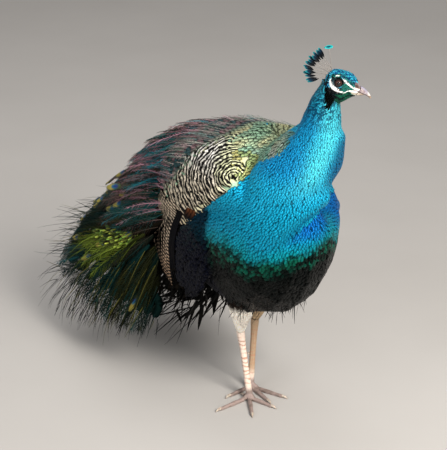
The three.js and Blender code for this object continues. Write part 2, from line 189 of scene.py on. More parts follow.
def uv_map(mesh, name, places):
    """A UV map from one place for each vertex."""
    layer = mesh.uv_layers.new(name=name, do_init=False)
    corners = np.empty(len(mesh.loops), np.int32)
    mesh.loops.foreach_get("vertex_index", corners)
    layer.data.foreach_set("uv", np.asarray(places, np.float32)[corners].ravel())


def piece(name, mesh, material, slot, *nodes):
    """Puts a smooth mesh in the scene as a piece, which may stand for CAD nodes."""
    thing = bpy.data.objects.new(name, mesh)
    bpy.context.scene.collection.objects.link(thing)
    mesh.materials.clear()
    mesh.materials.append(material)
    mesh.polygons.foreach_set("material_index", np.zeros(len(mesh.polygons), np.int32))
    mesh.polygons.foreach_set("use_smooth", np.ones(len(mesh.polygons), bool))
    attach(thing, "root")
    if nodes:
        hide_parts(*nodes)


def grown_copy(names, grow, bridged):
    """CAD nodes joined in one mesh, each swollen so that neighbours run into each other.
    The dips between the bridged ones are filled."""
    joined = bmesh.new()
    for name in names:
        part = bmesh.new()
        part.from_mesh(frame["nodes"][name].data)
        bmesh.ops.remove_doubles(part, verts=part.verts, dist=1e-6)
        part.normal_update()
        for vert, normal in [(v, v.normal.copy()) for v in part.verts]:
            vert.co += normal * grow
        mesh = bpy.data.meshes.new(name)
        part.to_mesh(mesh)
        part.free()
        joined.from_mesh(mesh)
    if bridged:
        spots = [v.co.copy() for name in bridged for v in frame["nodes"][name].data.vertices]
        hull = bmesh.new()
        for spot in spots:
            hull.verts.new(spot)
        made = bmesh.ops.convex_hull(hull, input=hull.verts)
        inside = [v for v in made["geom_interior"] if isinstance(v, bmesh.types.BMVert)]
        bmesh.ops.delete(hull, geom=inside, context="VERTS")
        mesh = bpy.data.meshes.new("bridge")
        hull.to_mesh(mesh)
        hull.free()
        joined.from_mesh(mesh)
    mesh = bpy.data.meshes.new("grown")
    joined.to_mesh(mesh)
    joined.free()
    return mesh


def modified(mesh, kind, **settings):
    """A mesh after one modifier."""
    thing = bpy.data.objects.new("work", mesh)
    bpy.context.scene.collection.objects.link(thing)
    modifier = thing.modifiers.new("work", kind)
    for key, value in settings.items():
        setattr(modifier, key, value)
    result = bpy.data.meshes.new_from_object(
        thing.evaluated_get(bpy.context.evaluated_depsgraph_get()))
    bpy.data.objects.remove(thing)
    return result


def smoothed(verts, ends, rounds):
    """Taubin smoothing, which takes facets off a closed mesh and keeps its volume."""
    a, b = ends
    degree = np.bincount(np.concatenate([a, b]), minlength=len(verts))[:, None]
    verts = verts.copy()
    for step in range(rounds * 2):
        total = np.empty_like(verts)
        for axis in range(3):
            values = verts[:, axis]
            total[:, axis] = (np.bincount(a, values[b], len(verts))
                              + np.bincount(b, values[a], len(verts)))
        pull = 0.5 if step % 2 == 0 else -0.52
        verts += (total / degree - verts) * pull
    return verts


def shell(names, voxel, rounds, bridged=(), grow=0.4 * MM):
    """One smooth closed mesh round CAD nodes: remeshed, freed of facets, back to size."""
    mesh = modified(grown_copy(names, grow, bridged), "REMESH", mode="VOXEL", voxel_size=voxel)
    verts = smoothed(arrays(mesh)[0], edge_ends(mesh), rounds)
    set_verts(mesh, verts)
    _, normals, _ = arrays(mesh)
    set_verts(mesh, verts - normals * grow)
    return mesh


class Surface:
    """A triangle mesh that answers nearest point, normal and face for many points."""

    def __init__(self, verts, tris):
        self.verts = verts
        self.tris = tris
        self.tree = BVHTree.FromPolygons(verts.tolist(), tris.tolist())

    def nearest(self, points):
        spots = np.empty((len(points), 3))
        normals = np.empty((len(points), 3))
        faces = np.empty(len(points), int)
        for i, point in enumerate(points.tolist()):
            spot, normal, face, _ = self.tree.find_nearest(point)
            spots[i] = spot
            normals[i] = normal
            faces[i] = face
        return spots, normals, faces

    def scatter(self, count):
        """Random places on it, even by area: points and the normals of their triangles."""
        a, b, c = (self.verts[self.tris[:, i]] for i in range(3))
        cross = np.cross(b - a, c - a)
        area = np.linalg.norm(cross, axis=1)
        pick = rng.choice(len(area), count, p=area / area.sum())
        u, v = rng.random((2, count))
        flip = u + v > 1
        u[flip], v[flip] = 1 - u[flip], 1 - v[flip]
        points = a[pick] + (b[pick] - a[pick]) * u[:, None] + (c[pick] - a[pick]) * v[:, None]
        return points, unit(cross[pick])


def join_surfaces(*pairs):
    verts, tris, base = [], [], 0
    for v, t in pairs:
        verts.append(v)
        tris.append(t + base)
        base += len(v)
    return np.concatenate(verts), np.concatenate(tris)


def thinned(points, spacing):
    """Which points to keep so that none is closer than its spacing to one kept before it."""
    tree = KDTree(len(points))
    for i, point in enumerate(points.tolist()):
        tree.insert(point, i)
    tree.balance()
    dropped = np.zeros(len(points), bool)
    kept = []
    for i, point in enumerate(points.tolist()):
        if dropped[i]:
            continue
        kept.append(i)
        for _, j, _ in tree.find_range(point, spacing[i]):
            dropped[j] = True
    return np.array(kept)


# ------------------------------------------------------------------ the CAD parts as zones

LEG_NODES = {
    side: [f"tarsus_{side}", f"foot_{side}"]
    + [f"toe_{side}_{toe}" for toe in ("inner", "middle", "outer", "hind")]
    for side in ("left", "right")
}
WINGS = [f"wing_{side}_{part}" for side in ("left", "right")
         for part in ("coverts", "secondaries", "primaries")]
TRAIN_NODES = ["train_front", "train_middle", "train_rear", "train_tip"]
BODY_NODES = ["neck_upper", "neck_lower", "breast", "trunk", "rump", "mantle",
              "thigh_left", "thigh_right", "undertail"]
THIGHS = ["thigh_left", "thigh_right"]
LEGS = LEG_NODES["left"] + LEG_NODES["right"]
FLESH_NODES = ["head"] + BODY_NODES + LEGS
ZONES = FLESH_NODES + WINGS


def cad_surface(names):
    parts = [arrays(frame["nodes"][name].data) for name in names]
    surface = Surface(*join_surfaces(*[(v, t) for v, _, t in parts]))
    surface.zone = np.repeat(np.arange(len(names)), [len(t) for _, _, t in parts])
    return surface


def zone_of(points):
    """The index in ZONES of the CAD part nearest to each point."""
    return zone_surface.zone[zone_surface.nearest(points)[2]]


def in_zone(zone, *names):
    return np.isin(zone, [i for i, name in enumerate(ZONES) if name in names])


zone_surface = cad_surface(ZONES)


def middle_of(node):
    return arrays(frame["nodes"][node].data)[0].mean(0)


# The lie of the coat follows these lines, each from where feathers start to where they point
BILL_TIP = head_place(66, 0, -38)
SPINE = [BILL_TIP, head_place(-6, 0, 2), middle_of("neck_upper"), middle_of("neck_lower"),
         middle_of("breast"), middle_of("trunk"), middle_of("rump"), place(-420, -10, 300)]
LIE_LINES = [(SPINE[i], SPINE[i + 1]) for i in range(len(SPINE) - 1)]
for side_name in ("left", "right"):
    thigh_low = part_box(f"thigh_{side_name}")[0][2]
    shank_low, shank_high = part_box(f"tarsus_{side_name}")
    centre = middle_of(f"thigh_{side_name}")
    LIE_LINES.append((centre + [0, 0, 0.03],
                      np.array([*((shank_low + shank_high) / 2)[:2], thigh_low])))


def lie(points, normals):
    """The way a feather at each point lies along the surface."""
    total = np.zeros_like(points)
    for start, end in LIE_LINES:
        run = end - start
        share = np.clip((points - start) @ run / (run @ run), 0, 1)
        gap = np.linalg.norm(points - start - share[:, None] * run, axis=1)
        total += unit(run) / (gap[:, None] + 0.01) ** 4
    way = total - normals * (total * normals).sum(-1, keepdims=True)
    return unit(way)


# ------------------------------------------------------------------ skin

FINE_FROM = 690  # millimetres up, above which the neck is meshed finely with the head


def coat_depth(points, zone):
    """How far the skin lies inside the coat's outer surface."""
    up = bird(points)[2]
    depth = np.full(len(points), 6.0)
    neck = mix([3.4], [1.4], ramp(up, 600, 760))[:, 0]
    depth = np.where(in_zone(zone, "neck_upper", "neck_lower", "breast"), neck, depth)
    depth = np.where(in_zone(zone, "head"), 1.2, depth)
    depth = np.where(in_zone(zone, *THIGHS), 0.4 + 3.4 * ramp(up, 175, 225), depth)
    return np.where(in_zone(zone, *LEGS), 0, depth) * MM


# The crease where the neck folds over the breast: forward, left, up and how deep it is
FOLD = [(188, 100, 512, 18), (212, 72, 508, 22), (230, 42, 506, 22), (238, 10, 503, 18),
        (234, -24, 486, 13), (214, -58, 452, 8), (188, -84, 414, 0)]
# Places drawn in or out: forward, left, up, how far round, and how far to the picture's right and up
DRAWN = [(200, 82, 545, 42, -42, 0), (212, 72, 503, 34, -22, 0), (134, 122, 470, 20, 9, 0),
         (250, -22, 784, 20, 10, 0), (186, -34, 694, 26, 17, -9),
         (*bird(head_place(29, 0, 4)), 14, 0, 1)]
PICTURE_RIGHT = np.array([math.cos(math.radians(CAMERA_AZIMUTH)),
                          math.sin(math.radians(CAMERA_AZIMUTH)), 0])


def from_fold(points):
    """Millimetres from the crease, how far above it, and how deep it is there."""
    here = np.stack(bird(points), 1)
    best, drop, depth = np.full(len(points), 1e9), np.zeros(len(points)), np.zeros(len(points))
    for start, end in zip(np.array(FOLD, float), np.array(FOLD[1:], float)):
        run = (end - start)[:3]
        share = np.clip((here - start[:3]) @ run / (run @ run), 0, 1)
        spot = start + share[:, None] * (end - start)
        gap = np.linalg.norm(here - spot[:, :3], axis=1)
        nearer = gap < best
        best = np.where(nearer, gap, best)
        depth = np.where(nearer, spot[:, 3], depth)
        drop = np.where(nearer, here[:, 2] - spot[:, 2], drop)
    return best, drop, depth


def sculpted(points, normals):
    """The neck's bulge to the picture's right, the fold under it, and the places drawn in or out."""
    forward, left, up = bird(points)
    bulge = 10 * ramp(up, 550, 610) * ramp(696 - up, 0, 30)
    facing = np.clip(normals @ PICTURE_RIGHT, 0, 1)
    move = PICTURE_RIGHT * (bulge * (0.25 + 0.75 * facing))[:, None]
    gap, drop, depth = from_fold(points)
    # steep above the crease, where the neck hangs over it, and long below
    dent = depth * np.exp(-(gap / np.where(drop > 0, 10, 24)) ** 2)
    swell = depth * 0.45 * np.exp(-((gap - 32) / 18) ** 2) * (drop > 0) * ramp(60 - left, 0, 40)
    here = np.stack([forward, left, up], 1)
    for *spot, reach, across, upward in DRAWN:
        near = np.exp(-((here - spot) ** 2).sum(1) / reach ** 2)
        move = move + near[:, None] * (PICTURE_RIGHT * across + UP * upward)
    return points + (move + normals * (swell - dent)[:, None]) * MM


def outer_and_skin(names, voxel, rounds, sink_below=0, bridged=()):
    """The coat's outer surface, and the skin inside it, sunk further below a height."""
    mesh = shell(names, voxel, rounds, bridged)
    verts, normals, _ = arrays(mesh)
    set_verts(mesh, sculpted(verts, normals))
    verts, normals, tris = arrays(mesh)
    a, b = edge_ends(mesh)
    depth = coat_depth(verts, zone_of(verts)) + 5 * MM * ramp(sink_below - bird(verts)[2], 0, 30)
    degree = np.bincount(np.concatenate([a, b]), minlength=len(verts))
    # the depth evens out from vertex to vertex, so no step shows between two zones
    for _ in range(8):
        depth = (np.bincount(a, depth[b], len(verts)) + np.bincount(b, depth[a], len(verts))) / degree
    set_verts(mesh, verts - normals * depth[:, None])
    return (verts, tris), mesh


BODY_VOXEL, FINE_VOXEL = 4.4 * MM, 1.2 * MM
body_outer, body_skin = outer_and_skin(BODY_NODES + WINGS, BODY_VOXEL, 18,
                                       bridged=["mantle", "wing_left_coverts", "wing_right_coverts"])
head_outer, head_skin = outer_and_skin(["head", "neck_upper"], FINE_VOXEL, 12, FINE_FROM - 10)
leg_skins = [outer_and_skin(LEG_NODES[side], FINE_VOXEL, 4)[1] for side in ("left", "right")]


def united(meshes):
    """One closed mesh from several that run into each other."""
    things = []
    for mesh in meshes:
        thing = bpy.data.objects.new("part", mesh)
        bpy.context.scene.collection.objects.link(thing)
        things.append(thing)
    result = things[0]
    for other in things[1:]:
        modifier = result.modifiers.new("join", "BOOLEAN")
        modifier.operation = "UNION"
        modifier.solver = "MANIFOLD"
        modifier.object = other
    mesh = bpy.data.meshes.new_from_object(
        result.evaluated_get(bpy.context.evaluated_depsgraph_get()))
    for thing in things:
        bpy.data.objects.remove(thing)
    return mesh


skin_mesh = united([body_skin, head_skin] + leg_skins)

# ------------------------------------------------------------------ markings

HIGHLIGHT_CYAN = (0.11, 0.84, 1.0)
BLUE = (0.012, 0.40, 0.66)
SHADED_BLUE = (0.005, 0.20, 0.58)
TEAL = (0.004, 0.27, 0.44)
TURQUOISE = (0.004, 0.33, 0.40)
GREEN = (0.004, 0.12, 0.075)
BLACK_GREEN = (0.0008, 0.0026, 0.0024)
NAVY = (0.0008, 0.0022, 0.012)
WHITE = (0.80, 0.79, 0.75)
GOLD = (0.72, 0.70, 0.38)
MOSS = (0.32, 0.54, 0.36)
COPPER = (0.26, 0.14, 0.16)
BROWN = (0.012, 0.008, 0.006)
BUFF = (0.98, 0.92, 0.82)

# How far forward the blue and black plumage of the front starts, by height
FRONT_HEIGHTS = [250, 312, 384, 417, 447, 480, 509, 526, 546, 570, 597, 606, 616, 629, 642, 661, 690]
FRONT_STARTS = [-67, -62, -57, -40, -12, 30, 70, 86, 106, 117, 126, 138, 154, 177, 197, 213, 219]
FRONT_TOP = 676


def far_bulge(left, up):
    """How much further forward the barred patch of the far shoulder reaches."""
    return 40 * ramp(left, 60, 105) * ramp(up, 450, 490) * ramp(580 - up, 0, 45)


def is_blue(points):
    """Where the blue of the neck and breast and the black of the belly are."""
    forward, left, up = bird(points)
    start = np.interp(up, FRONT_HEIGHTS, FRONT_STARTS) + far_bulge(left, up)
    top = FRONT_TOP + 9 * waves(points, 0.012, 61) - 22 * ramp(28 - np.abs(left), 0, 30)
    return (forward > start + 3 * waves(points, 0.009, 62)) | (up > top)


BARRED_UP = [430, 453, 470, 491, 519, 544, 579, 603, 622]
BARRED_FRONT = [0, 25, 45, 66, 112, 126, 96, 78, 50]
BARRED_REAR = [-118, -106, -98, -84, -42, -24, 0, 14, 24]
FLANK_FRONT = 42  # forward of here the flanks are blue, behind it nearly black


def barred_front(up):
    return np.interp(up, BARRED_UP, BARRED_FRONT)


def barred_rear(up):
    return np.interp(up, BARRED_UP, BARRED_REAR)


def blue_floor(left):
    """The height where the cyan of the breast ends, lowest on the bird's right flank."""
    return np.interp(left, [-140, -95, -57, 13, 45, 75, 140], [414, 396, 408, 438, 446, 424, 416])


def front_colour(points):
    """Blue neck and breast with a painted highlight and painted shade, green flecks and the black belly.
    """
    forward, left, up = bird(points)
    drift = waves(points, 0.045, 1)
    # a painted highlight runs as a light band down the neck's front, and painted shade makes both its
    # sides deeper blue
    across = 0.84 * left + 0.54 * forward + 7 * drift
    middle = np.interp(up, [540, 565, 612, 660, 703, 760], [98, 104, 121, 136, 152, 150])
    band_half = np.interp(up, [560, 640, 700], [36, 30, 24])
    painted_highlight = np.exp(-((across - middle) / band_half) ** 2) * ramp(up, 530, 620)
    colour = mix(BLUE, HIGHLIGHT_CYAN, painted_highlight * 0.85)
    colour = mix(colour, SHADED_BLUE, ramp(-left + 12 * drift, 18, 56) * ramp(up, 560, 620) * 0.55)
    # painted shade darkens the neck's edge beyond the highlight band
    edge = ramp(across - np.interp(up, [540, 612, 660, 703], [144, 152, 162, 175]), -8, 16)
    edge *= ramp(up, 520, 590) * (1 - 0.8 * ramp(across - middle, 62, 105))
    colour = mix(colour, (0.004, 0.12, 0.29), edge * 0.9)
    colour = mix(colour, TEAL, ramp(570 - up + 14 * drift, 0, 80) * 0.8)
    # painted shade: deep blue below the neck's fold and a dark line along its crease
    gap, drop, depth = from_fold(points)
    folded = ramp(depth, 4, 14)
    below = folded * (drop < 0) * ramp(70 - gap + 10 * drift, 0, 40)
    colour = mix(colour, (0.004, 0.10, 0.42), below * 0.85)
    colour = mix(colour, (0.003, 0.06, 0.22), folded * ramp(11 - gap, 0, 8) * 0.7)
    above = up - blue_floor(left) + 7 * drift + 5 * waves(points, 0.016, 13)
    colour = mix(TURQUOISE, colour, ramp(above, 4, 55))
    colour = mix(GREEN, colour, ramp(above, -8, 20))
    colour = mix(BLACK_GREEN, colour, ramp(above, -40, -4))
    fleck = ramp(waves(points, 0.0065, 12), -0.35, 0.25)
    colour = mix(colour, BLACK_GREEN, fleck * ramp(32 - above, 0, 40) * 0.95)
    flank = ramp(FLANK_FRONT + 8 * drift - forward, -6, 14) * ramp(515 - up, 0, 20)
    return mix(colour, NAVY, flank * 0.94)


def back_colour(points):
    """Gold green scales over the shoulders, then teal and copper down the back."""
    forward, left, up = bird(points)
    patch = waves(points, 0.022, 2)
    large = waves(points, 0.07, 3)
    colour = mix(MOSS, GOLD, ramp(patch + 0.35 * large, -0.5, 0.9))
    teal = mix((0.20, 0.46, 0.38), (0.22, 0.34, 0.42), ramp(patch, 0, 0.8))
    colour = mix(colour, teal, ramp(large + (70 - np.abs(left)) / 160, 0.0, 0.9) * 0.75)
    rear = ramp(barred_rear(up) + 8 * patch - forward, -8, 40)
    streak = mix(COPPER, (0.02, 0.08, 0.09), ramp(patch - 0.4 * large, -0.25, 0.35))
    return mix(colour, streak, rear)


HEAD_BLACK = (0.004, 0.008, 0.010)
HEAD_GREEN = (0.010, 0.16, 0.085)
LORE_GREEN = (0.022, 0.25, 0.20)


def near_curve(towards, up, spots, widths):
    """1 on a painted stroke through spots with those half widths, 0 beyond its edge."""
    best = np.full(len(towards), 9.0)
    for (x0, y0), (x1, y1), w0, w1 in zip(spots, spots[1:], widths, widths[1:]):
        run = np.array([x1 - x0, y1 - y0])
        share = np.clip(((towards - x0) * run[0] + (up - y0) * run[1]) / (run @ run), 0, 1)
        gap = np.hypot(towards - x0 - share * run[0], up - y0 - share * run[1])
        best = np.minimum(best, gap / (w0 + (w1 - w0) * share))
    return 1 - ramp(best, 0.85, 1.15)


# Marks of the face, in head coordinates as seen from the side
CRESCENT = [(-14.3, 12.2), (-14.8, 7), (-14.8, 2), (-13.7, -3.7), (-10.5, -8.7), (-5.7, -12),
            (0.3, -14.5), (6.2, -17.2), (11.7, -20.6)]
CRESCENT_HALF = [0.6, 1.9, 2.7, 3.2, 3.5, 3.4, 2.9, 2.1, 1.0]
BROW = [(7.4, 9), (12.6, 4.4), (16.5, 0), (22.4, -5.7), (28.6, -11.5), (34.7, -15.5), (43, -18.5)]
BROW_HALF = [0.8, 1.7, 1.9, 1.8, 1.7, 2.0, 1.4]
BROW_SPOT = [(-3.9, 13.3), (1.9, 13.9)]
GAPE = [(12, -20.6), (17, -18.1), (22.9, -17.6), (28.8, -19.6), (36.9, -22.6)]
GAPE_HALF = [0.9, 1.3, 1.6, 2.0, 1.6]
UNDER_CRESCENT = [(-18.5, -8), (-12.5, -15), (-5.5, -18), (1, -20), (8, -22.8)]
NAPE_LINE = [(-16.6, 14), (-20.1, 4.5), (-22.8, -3.2), (-25, -10)]
CHIN_LINE = [(-5, -26), (5, -33), (15.5, -29.6), (23.4, -27.8), (33.5, -30.6)]
INNER_RING = [(-10, 8), (-11.5, 1), (-8.5, -6.5), (-1, -10.5), (5, -12)]
FACE_PATCH = [(-20, -12), (-15, -21), (-15, -32), (-18, -46)]
FACE_PATCH_HALF = [5, 9.5, 10, 4]
MOUTH = ([18, 24, 30, 36, 45, 54, 60], [-18, -17, -19, -21.5, -25.5, -29.5, -32])


def face_white(points):
    """Where the face is bare white skin."""
    towards, side, up = head_coords(points)
    shown = np.abs(side) > 3
    white = near_curve(towards, up, CRESCENT, CRESCENT_HALF)
    white = np.maximum(white, near_curve(towards, up, BROW, BROW_HALF))
    white = np.maximum(white, near_curve(towards, up, BROW_SPOT, [1.4, 0.9]))
    white = np.maximum(white, near_curve(towards, up, GAPE, GAPE_HALF))
    return white * shown


def is_horn(points):
    """Where the horn of the bill shows, back to the edge of the face's feathers."""
    towards, side, up = head_coords(points)
    edge = np.interp(up, [-32, -30.5, -27, -23, -20.4, -17, -12, -6, -1, 2, 4],
                     [60, 37, 28, 25, 24.5, 29, 32.5, 32.5, 34, 38, 60])
    edge += 7 * ramp(10 - np.abs(side), 0, 8) * ramp(up, -14, -6)
    return towards > edge


def nostril(points):
    towards, side, up = head_coords(points)
    return near_curve(towards, up, [(35.2, -9), (39.6, -12.8)], [1.9, 1.3]) * (np.abs(side) > 3)


def horn_colour(points):
    """Lilac grey along the ridge, brown grey sides, a white tip and a cream lower edge."""
    towards, side, up = head_coords(points)
    over = up - np.interp(towards, *MOUTH)
    streak = waves(points, 0.004, 31)
    colour = mix((0.20, 0.145, 0.15), (0.30, 0.24, 0.24), ramp(streak, -0.6, 0.6))
    ridge = ramp(6.5 - np.abs(side), 0, 4) * ramp(over, 2, 6)
    colour = mix(colour, (0.24, 0.225, 0.30), ridge)
    base = ramp(41 - towards, 0, 7) * ramp(over, 3, 7)
    colour = mix(colour, (0.085, 0.065, 0.095), base * 0.85)
    colour = mix(colour, (0.56, 0.50, 0.46), ramp(towards, 55, 63))
    lower = mix((0.46, 0.42, 0.34), (0.26, 0.19, 0.14), ramp(towards, 34, 46))
    colour = mix(lower, colour, ramp(over, -0.8, 0.8))
    seam = ramp(1.0 - np.abs(over), 0, 0.7) * ramp(towards, 36, 42)
    colour = mix(colour, (0.06, 0.035, 0.03), seam * 0.8)
    around = near_curve(towards, up, [(34, -7.5), (41, -14)], [3.6, 3.0])
    colour = mix(colour, (0.14, 0.07, 0.05), around * 0.7)
    return mix(colour, (0.03, 0.012, 0.010), nostril(points))


def head_colour(points):
    """Blue crown, dark lines round the white of the face, green cheeks, and the bill's horn."""
    towards, _, up = head_coords(points)
    fleck = waves(points, 0.0028, 4)
    colour = mix((0.05, 0.60, 0.84), (0.003, 0.10, 0.30), ramp(fleck, -0.2, 0.4))
    above = up - np.interp(towards, [7, 12, 16, 22, 28, 35], [9, 4.4, 0, -5.7, -11.5, -15.5])
    brow = ramp(towards, 6, 15) * ramp(17 - above, 0, 9)
    colour = mix(colour, mix((0.010, 0.24, 0.20), HEAD_BLACK, ramp(fleck, -0.3, 0.2)), brow * 0.9)
    over_eye = near_curve(towards, up, [(-8, 12), (4, 12.5)], [4.5, 4.5])
    colour = mix(colour, mix((0.008, 0.20, 0.16), HEAD_BLACK, ramp(fleck, -0.3, 0.3)), over_eye)
    cheek = ramp(-up, 6, 16) * ramp(towards, -16, -4)
    colour = mix(colour, mix(HEAD_GREEN, (0.003, 0.05, 0.04), ramp(fleck, 0, 0.6)), cheek)
    lore = ramp(towards, 5, 9) * ramp(-above, -0.5, 2) * ramp(up, -22, -16)
    colour = mix(colour, mix(LORE_GREEN, (0.012, 0.10, 0.075), ramp(fleck, -0.1, 0.7)), lore)
    line = near_curve(towards, up, NAPE_LINE, [1.2, 1.8, 2.0, 1.8])
    under = near_curve(towards, up, UNDER_CRESCENT, [2.0, 2.8, 2.7, 2.3, 1.2])
    chin = near_curve(towards, up, CHIN_LINE, [3.0, 1.8, 1.4, 1.5, 1.3])
    patch = near_curve(towards + 1.6 * fleck, up, FACE_PATCH, FACE_PATCH_HALF)
    dark = np.maximum(np.maximum(line, under), np.maximum(chin, patch * ramp(fleck, -1.6, -1.0)))
    colour = mix(colour, HEAD_BLACK, dark)
    inner = near_curve(towards, up, INNER_RING, [2.5, 3, 3, 3, 2])
    colour = mix(colour, (0.012, 0.012, 0.010), inner * 0.9)
    rim = near_curve(towards, up, [(-0.5, 1.5), (2.5, 1.5), (12, 0.5)], [9.6, 9.0, 2.6])
    colour = mix(colour, HEAD_BLACK, rim * 0.95)
    horn = is_horn(points)
    colour[horn] = horn_colour(points[horn])
    return colour


def neck_top_colour(points):
    """The nape and throat: black and dark flecks that fade down the neck."""
    towards, side, up = head_coords(points)
    fleck = waves(points * [0.75, 0.75, 1.5], 0.0033, 5)
    colour = front_colour(points)
    throat = ramp(up, -62, -34) * ramp(towards, -4, 8)
    colour = mix(colour, HEAD_GREEN, throat)
    behind = ramp(-towards, 2, 26) * ramp(up, -104, -60)
    nape = ramp(up, -112, -56) * ramp(fleck + 0.25 * behind, 0.06, 0.42)
    colour = mix(colour, (0.001, 0.035, 0.12), nape * 0.8)
    patch = near_curve(towards + 2 * fleck, up, FACE_PATCH, FACE_PATCH_HALF) * (np.abs(side) > 4)
    return mix(colour, (0.001, 0.003, 0.003), patch)


def leg_colour(points):
    """Pale scuted shanks with rust bands, the left one tanner, partly its own tone and partly painted
    shade, and grey pink toes.
    """
    _, left, up = bird(points)
    side = np.where(left > 4 + (up - 20) * 0.08, 1.0, 0.0)
    # the left shank is tanner, partly its own tone and partly painted shade
    base = mix((0.80, 0.65, 0.55), (0.42, 0.28, 0.17), side * ramp(up, 25, 60))
    wobble = waves(points, 0.012, 6)
    phase = up / 9.5 + 0.22 * wobble
    band = ramp(np.sin(phase * 2 * math.pi), 0.25, 0.75) * ramp(up, 30, 48) * ramp(150 - up, 0, 12)
    band *= 0.35 + 0.65 * ramp(waves(points, 0.02, 7), -0.5, 0.3)
    base = mix(base, (0.44, 0.20, 0.11), band * 0.8)
    grime = ramp(waves(points, 0.008, 8), -0.2, 0.9)
    toes = mix((0.32, 0.235, 0.21), (0.16, 0.12, 0.10), grime * 0.7)
    return mix(base, toes, ramp(34 - up, 0, 14))


def thigh_colour(points):
    """Buff grey on the right; tan on the left, darker higher up, partly its own tone and partly painted
    shade; and dark where they meet the belly.
    """
    forward, left, up = bird(points)
    grey = mix(BUFF, (0.55, 0.50, 0.45), near_curve(forward, up, [(16, 170), (40, 225)], [5, 8]) * 0.4)
    # the left thigh's tan, darker higher up, is partly its own tone and partly painted shade
    tan = mix((0.50, 0.36, 0.22), (0.34, 0.24, 0.13), ramp(up, 190, 235))
    colour = mix(grey, tan, (left > 0).astype(float))
    return mix(colour, BROWN, ramp(up, 236, 262))


def is_front(points, zone):
    return is_blue(points) & ~in_zone(zone, *THIGHS, "head", "undertail")


BACK_FROM = 470  # millimetres up, above which the coat behind the blue is that of the back


def markings(points, zone):
    """The colour of the coat and of the skin under it."""
    forward, _, up = bird(points)
    colour = mix(BROWN, BLACK_GREEN, ramp(forward, -150, -60))
    head = in_zone(zone, "head")
    areas = ((back_colour, (up > BACK_FROM) & ~in_zone(zone, "head", "neck_upper")),
             (front_colour, is_front(points, zone)), (neck_top_colour, up > FINE_FROM),
             (head_colour, head))
    for paint, mask in areas:
        colour[mask] = paint(points[mask])
    face = head | (up > 745)
    colour[face] = mix(colour[face], WHITE, face_white(points[face]))
    for paint, mask in ((thigh_colour, in_zone(zone, *THIGHS)), (leg_colour, in_zone(zone, *LEGS))):
        colour[mask] = paint(points[mask])
    return colour


# ------------------------------------------------------------------ materials

BARB_SLOPE = 0.9  # how far along the shaft a barb runs for each metre across
BARB_RELIEF = 0.00012


class Nodes:
    """Short ways to build a node material."""

    def __init__(self, name):
        self.material = bpy.data.materials.new(name)
        self.material.use_nodes = True
        self.tree = self.material.node_tree
        self.shader = next(n for n in self.tree.nodes if n.type == "BSDF_PRINCIPLED")

    def add(self, kind, **settings):
        node = self.tree.nodes.new(kind)
        for key, value in settings.items():
            setattr(node, key, value)
        return node

    def link(self, output, target):
        self.tree.links.new(output, target)

    def fill(self, socket, value):
        if isinstance(value, bpy.types.NodeSocket):
            self.link(value, socket)
        else:
            socket.default_value = value

    def math(self, operation, *values):
        node = self.add("ShaderNodeMath", operation=operation)
        for socket, value in zip(node.inputs, values):
            self.fill(socket, value)
        return node.outputs[0]

    def mixed(self, share, a, b, blend="MIX"):
        node = self.add("ShaderNodeMix", data_type="RGBA", blend_type=blend)
        self.fill(node.inputs["Factor"], share)
        self.fill(node.inputs[6], (*a, 1) if isinstance(a, tuple) else a)
        self.fill(node.inputs[7], (*b, 1) if isinstance(b, tuple) else b)
        return node.outputs[2]

    def tint(self):
        return self.add("ShaderNodeAttribute", attribute_name="Tint").outputs["Color"]

    def noise(self, scale, detail, rough=0.5):
        coords = self.add("ShaderNodeTexCoord").outputs["Object"]
        node = self.add("ShaderNodeTexNoise")
        self.link(coords, node.inputs["Vector"])
        node.inputs["Scale"].default_value = scale
        node.inputs["Detail"].default_value = detail
        node.inputs["Roughness"].default_value = rough
        return node.outputs["Fac"]

    def ramp(self, value, low, high):
        node = self.add("ShaderNodeMapRange", interpolation_type="SMOOTHSTEP")
        self.fill(node.inputs["Value"], value)
        node.inputs["From Min"].default_value = low
        node.inputs["From Max"].default_value = high
        return node.outputs[0]

    def vane(self):
        """Metres across and along the vane, from its own map."""
        spot = self.add("ShaderNodeUVMap", uv_map="Vane").outputs[0]
        split = self.add("ShaderNodeSeparateXYZ")
        self.link(spot, split.inputs[0])
        return split.outputs[0], split.outputs[1]

    def barbs(self, period):
        """Lines of barbs that leave the shaft on both sides, from 0 to 1."""
        across, along = self.vane()
        run = self.math("MULTIPLY", self.math("ABSOLUTE", across), -BARB_SLOPE)
        phase = self.math("MULTIPLY", self.math("ADD", run, along), 2 * math.pi / period)
        return self.math("MULTIPLY_ADD", self.math("SINE", phase), 0.5, 0.5)

    def bump(self, height, distance):
        node = self.add("ShaderNodeBump")
        self.link(height, node.inputs["Height"])
        node.inputs["Distance"].default_value = distance
        self.link(node.outputs[0], self.shader.inputs["Normal"])

    def set(self, **values):
        """Fills the shader's inputs, each named with underscores for its spaces."""
        for key, value in values.items():
            self.fill(self.shader.inputs[key.replace("_", " ")], value)


def feather_material(name, roughness, metallic, period, specular, speckle=0.35):
    """Barbed vanes in the coat's own colour, lighter and darker from barb to barb."""
    nodes = Nodes(name)
    barbs = nodes.barbs(period)
    grain = nodes.noise(900, 2)
    shade = nodes.math("MULTIPLY_ADD", grain, speckle, 1 - speckle / 2)
    shade = nodes.math("MULTIPLY", shade, nodes.math("MULTIPLY_ADD", barbs, 0.22, 0.87))
    colour = nodes.mixed(1.0, nodes.tint(), shade, "MULTIPLY")
    nodes.set(Base_Color=colour, Roughness=roughness, Metallic=metallic,
              Specular_IOR_Level=specular)
    nodes.bump(barbs, BARB_RELIEF)
    return nodes.material


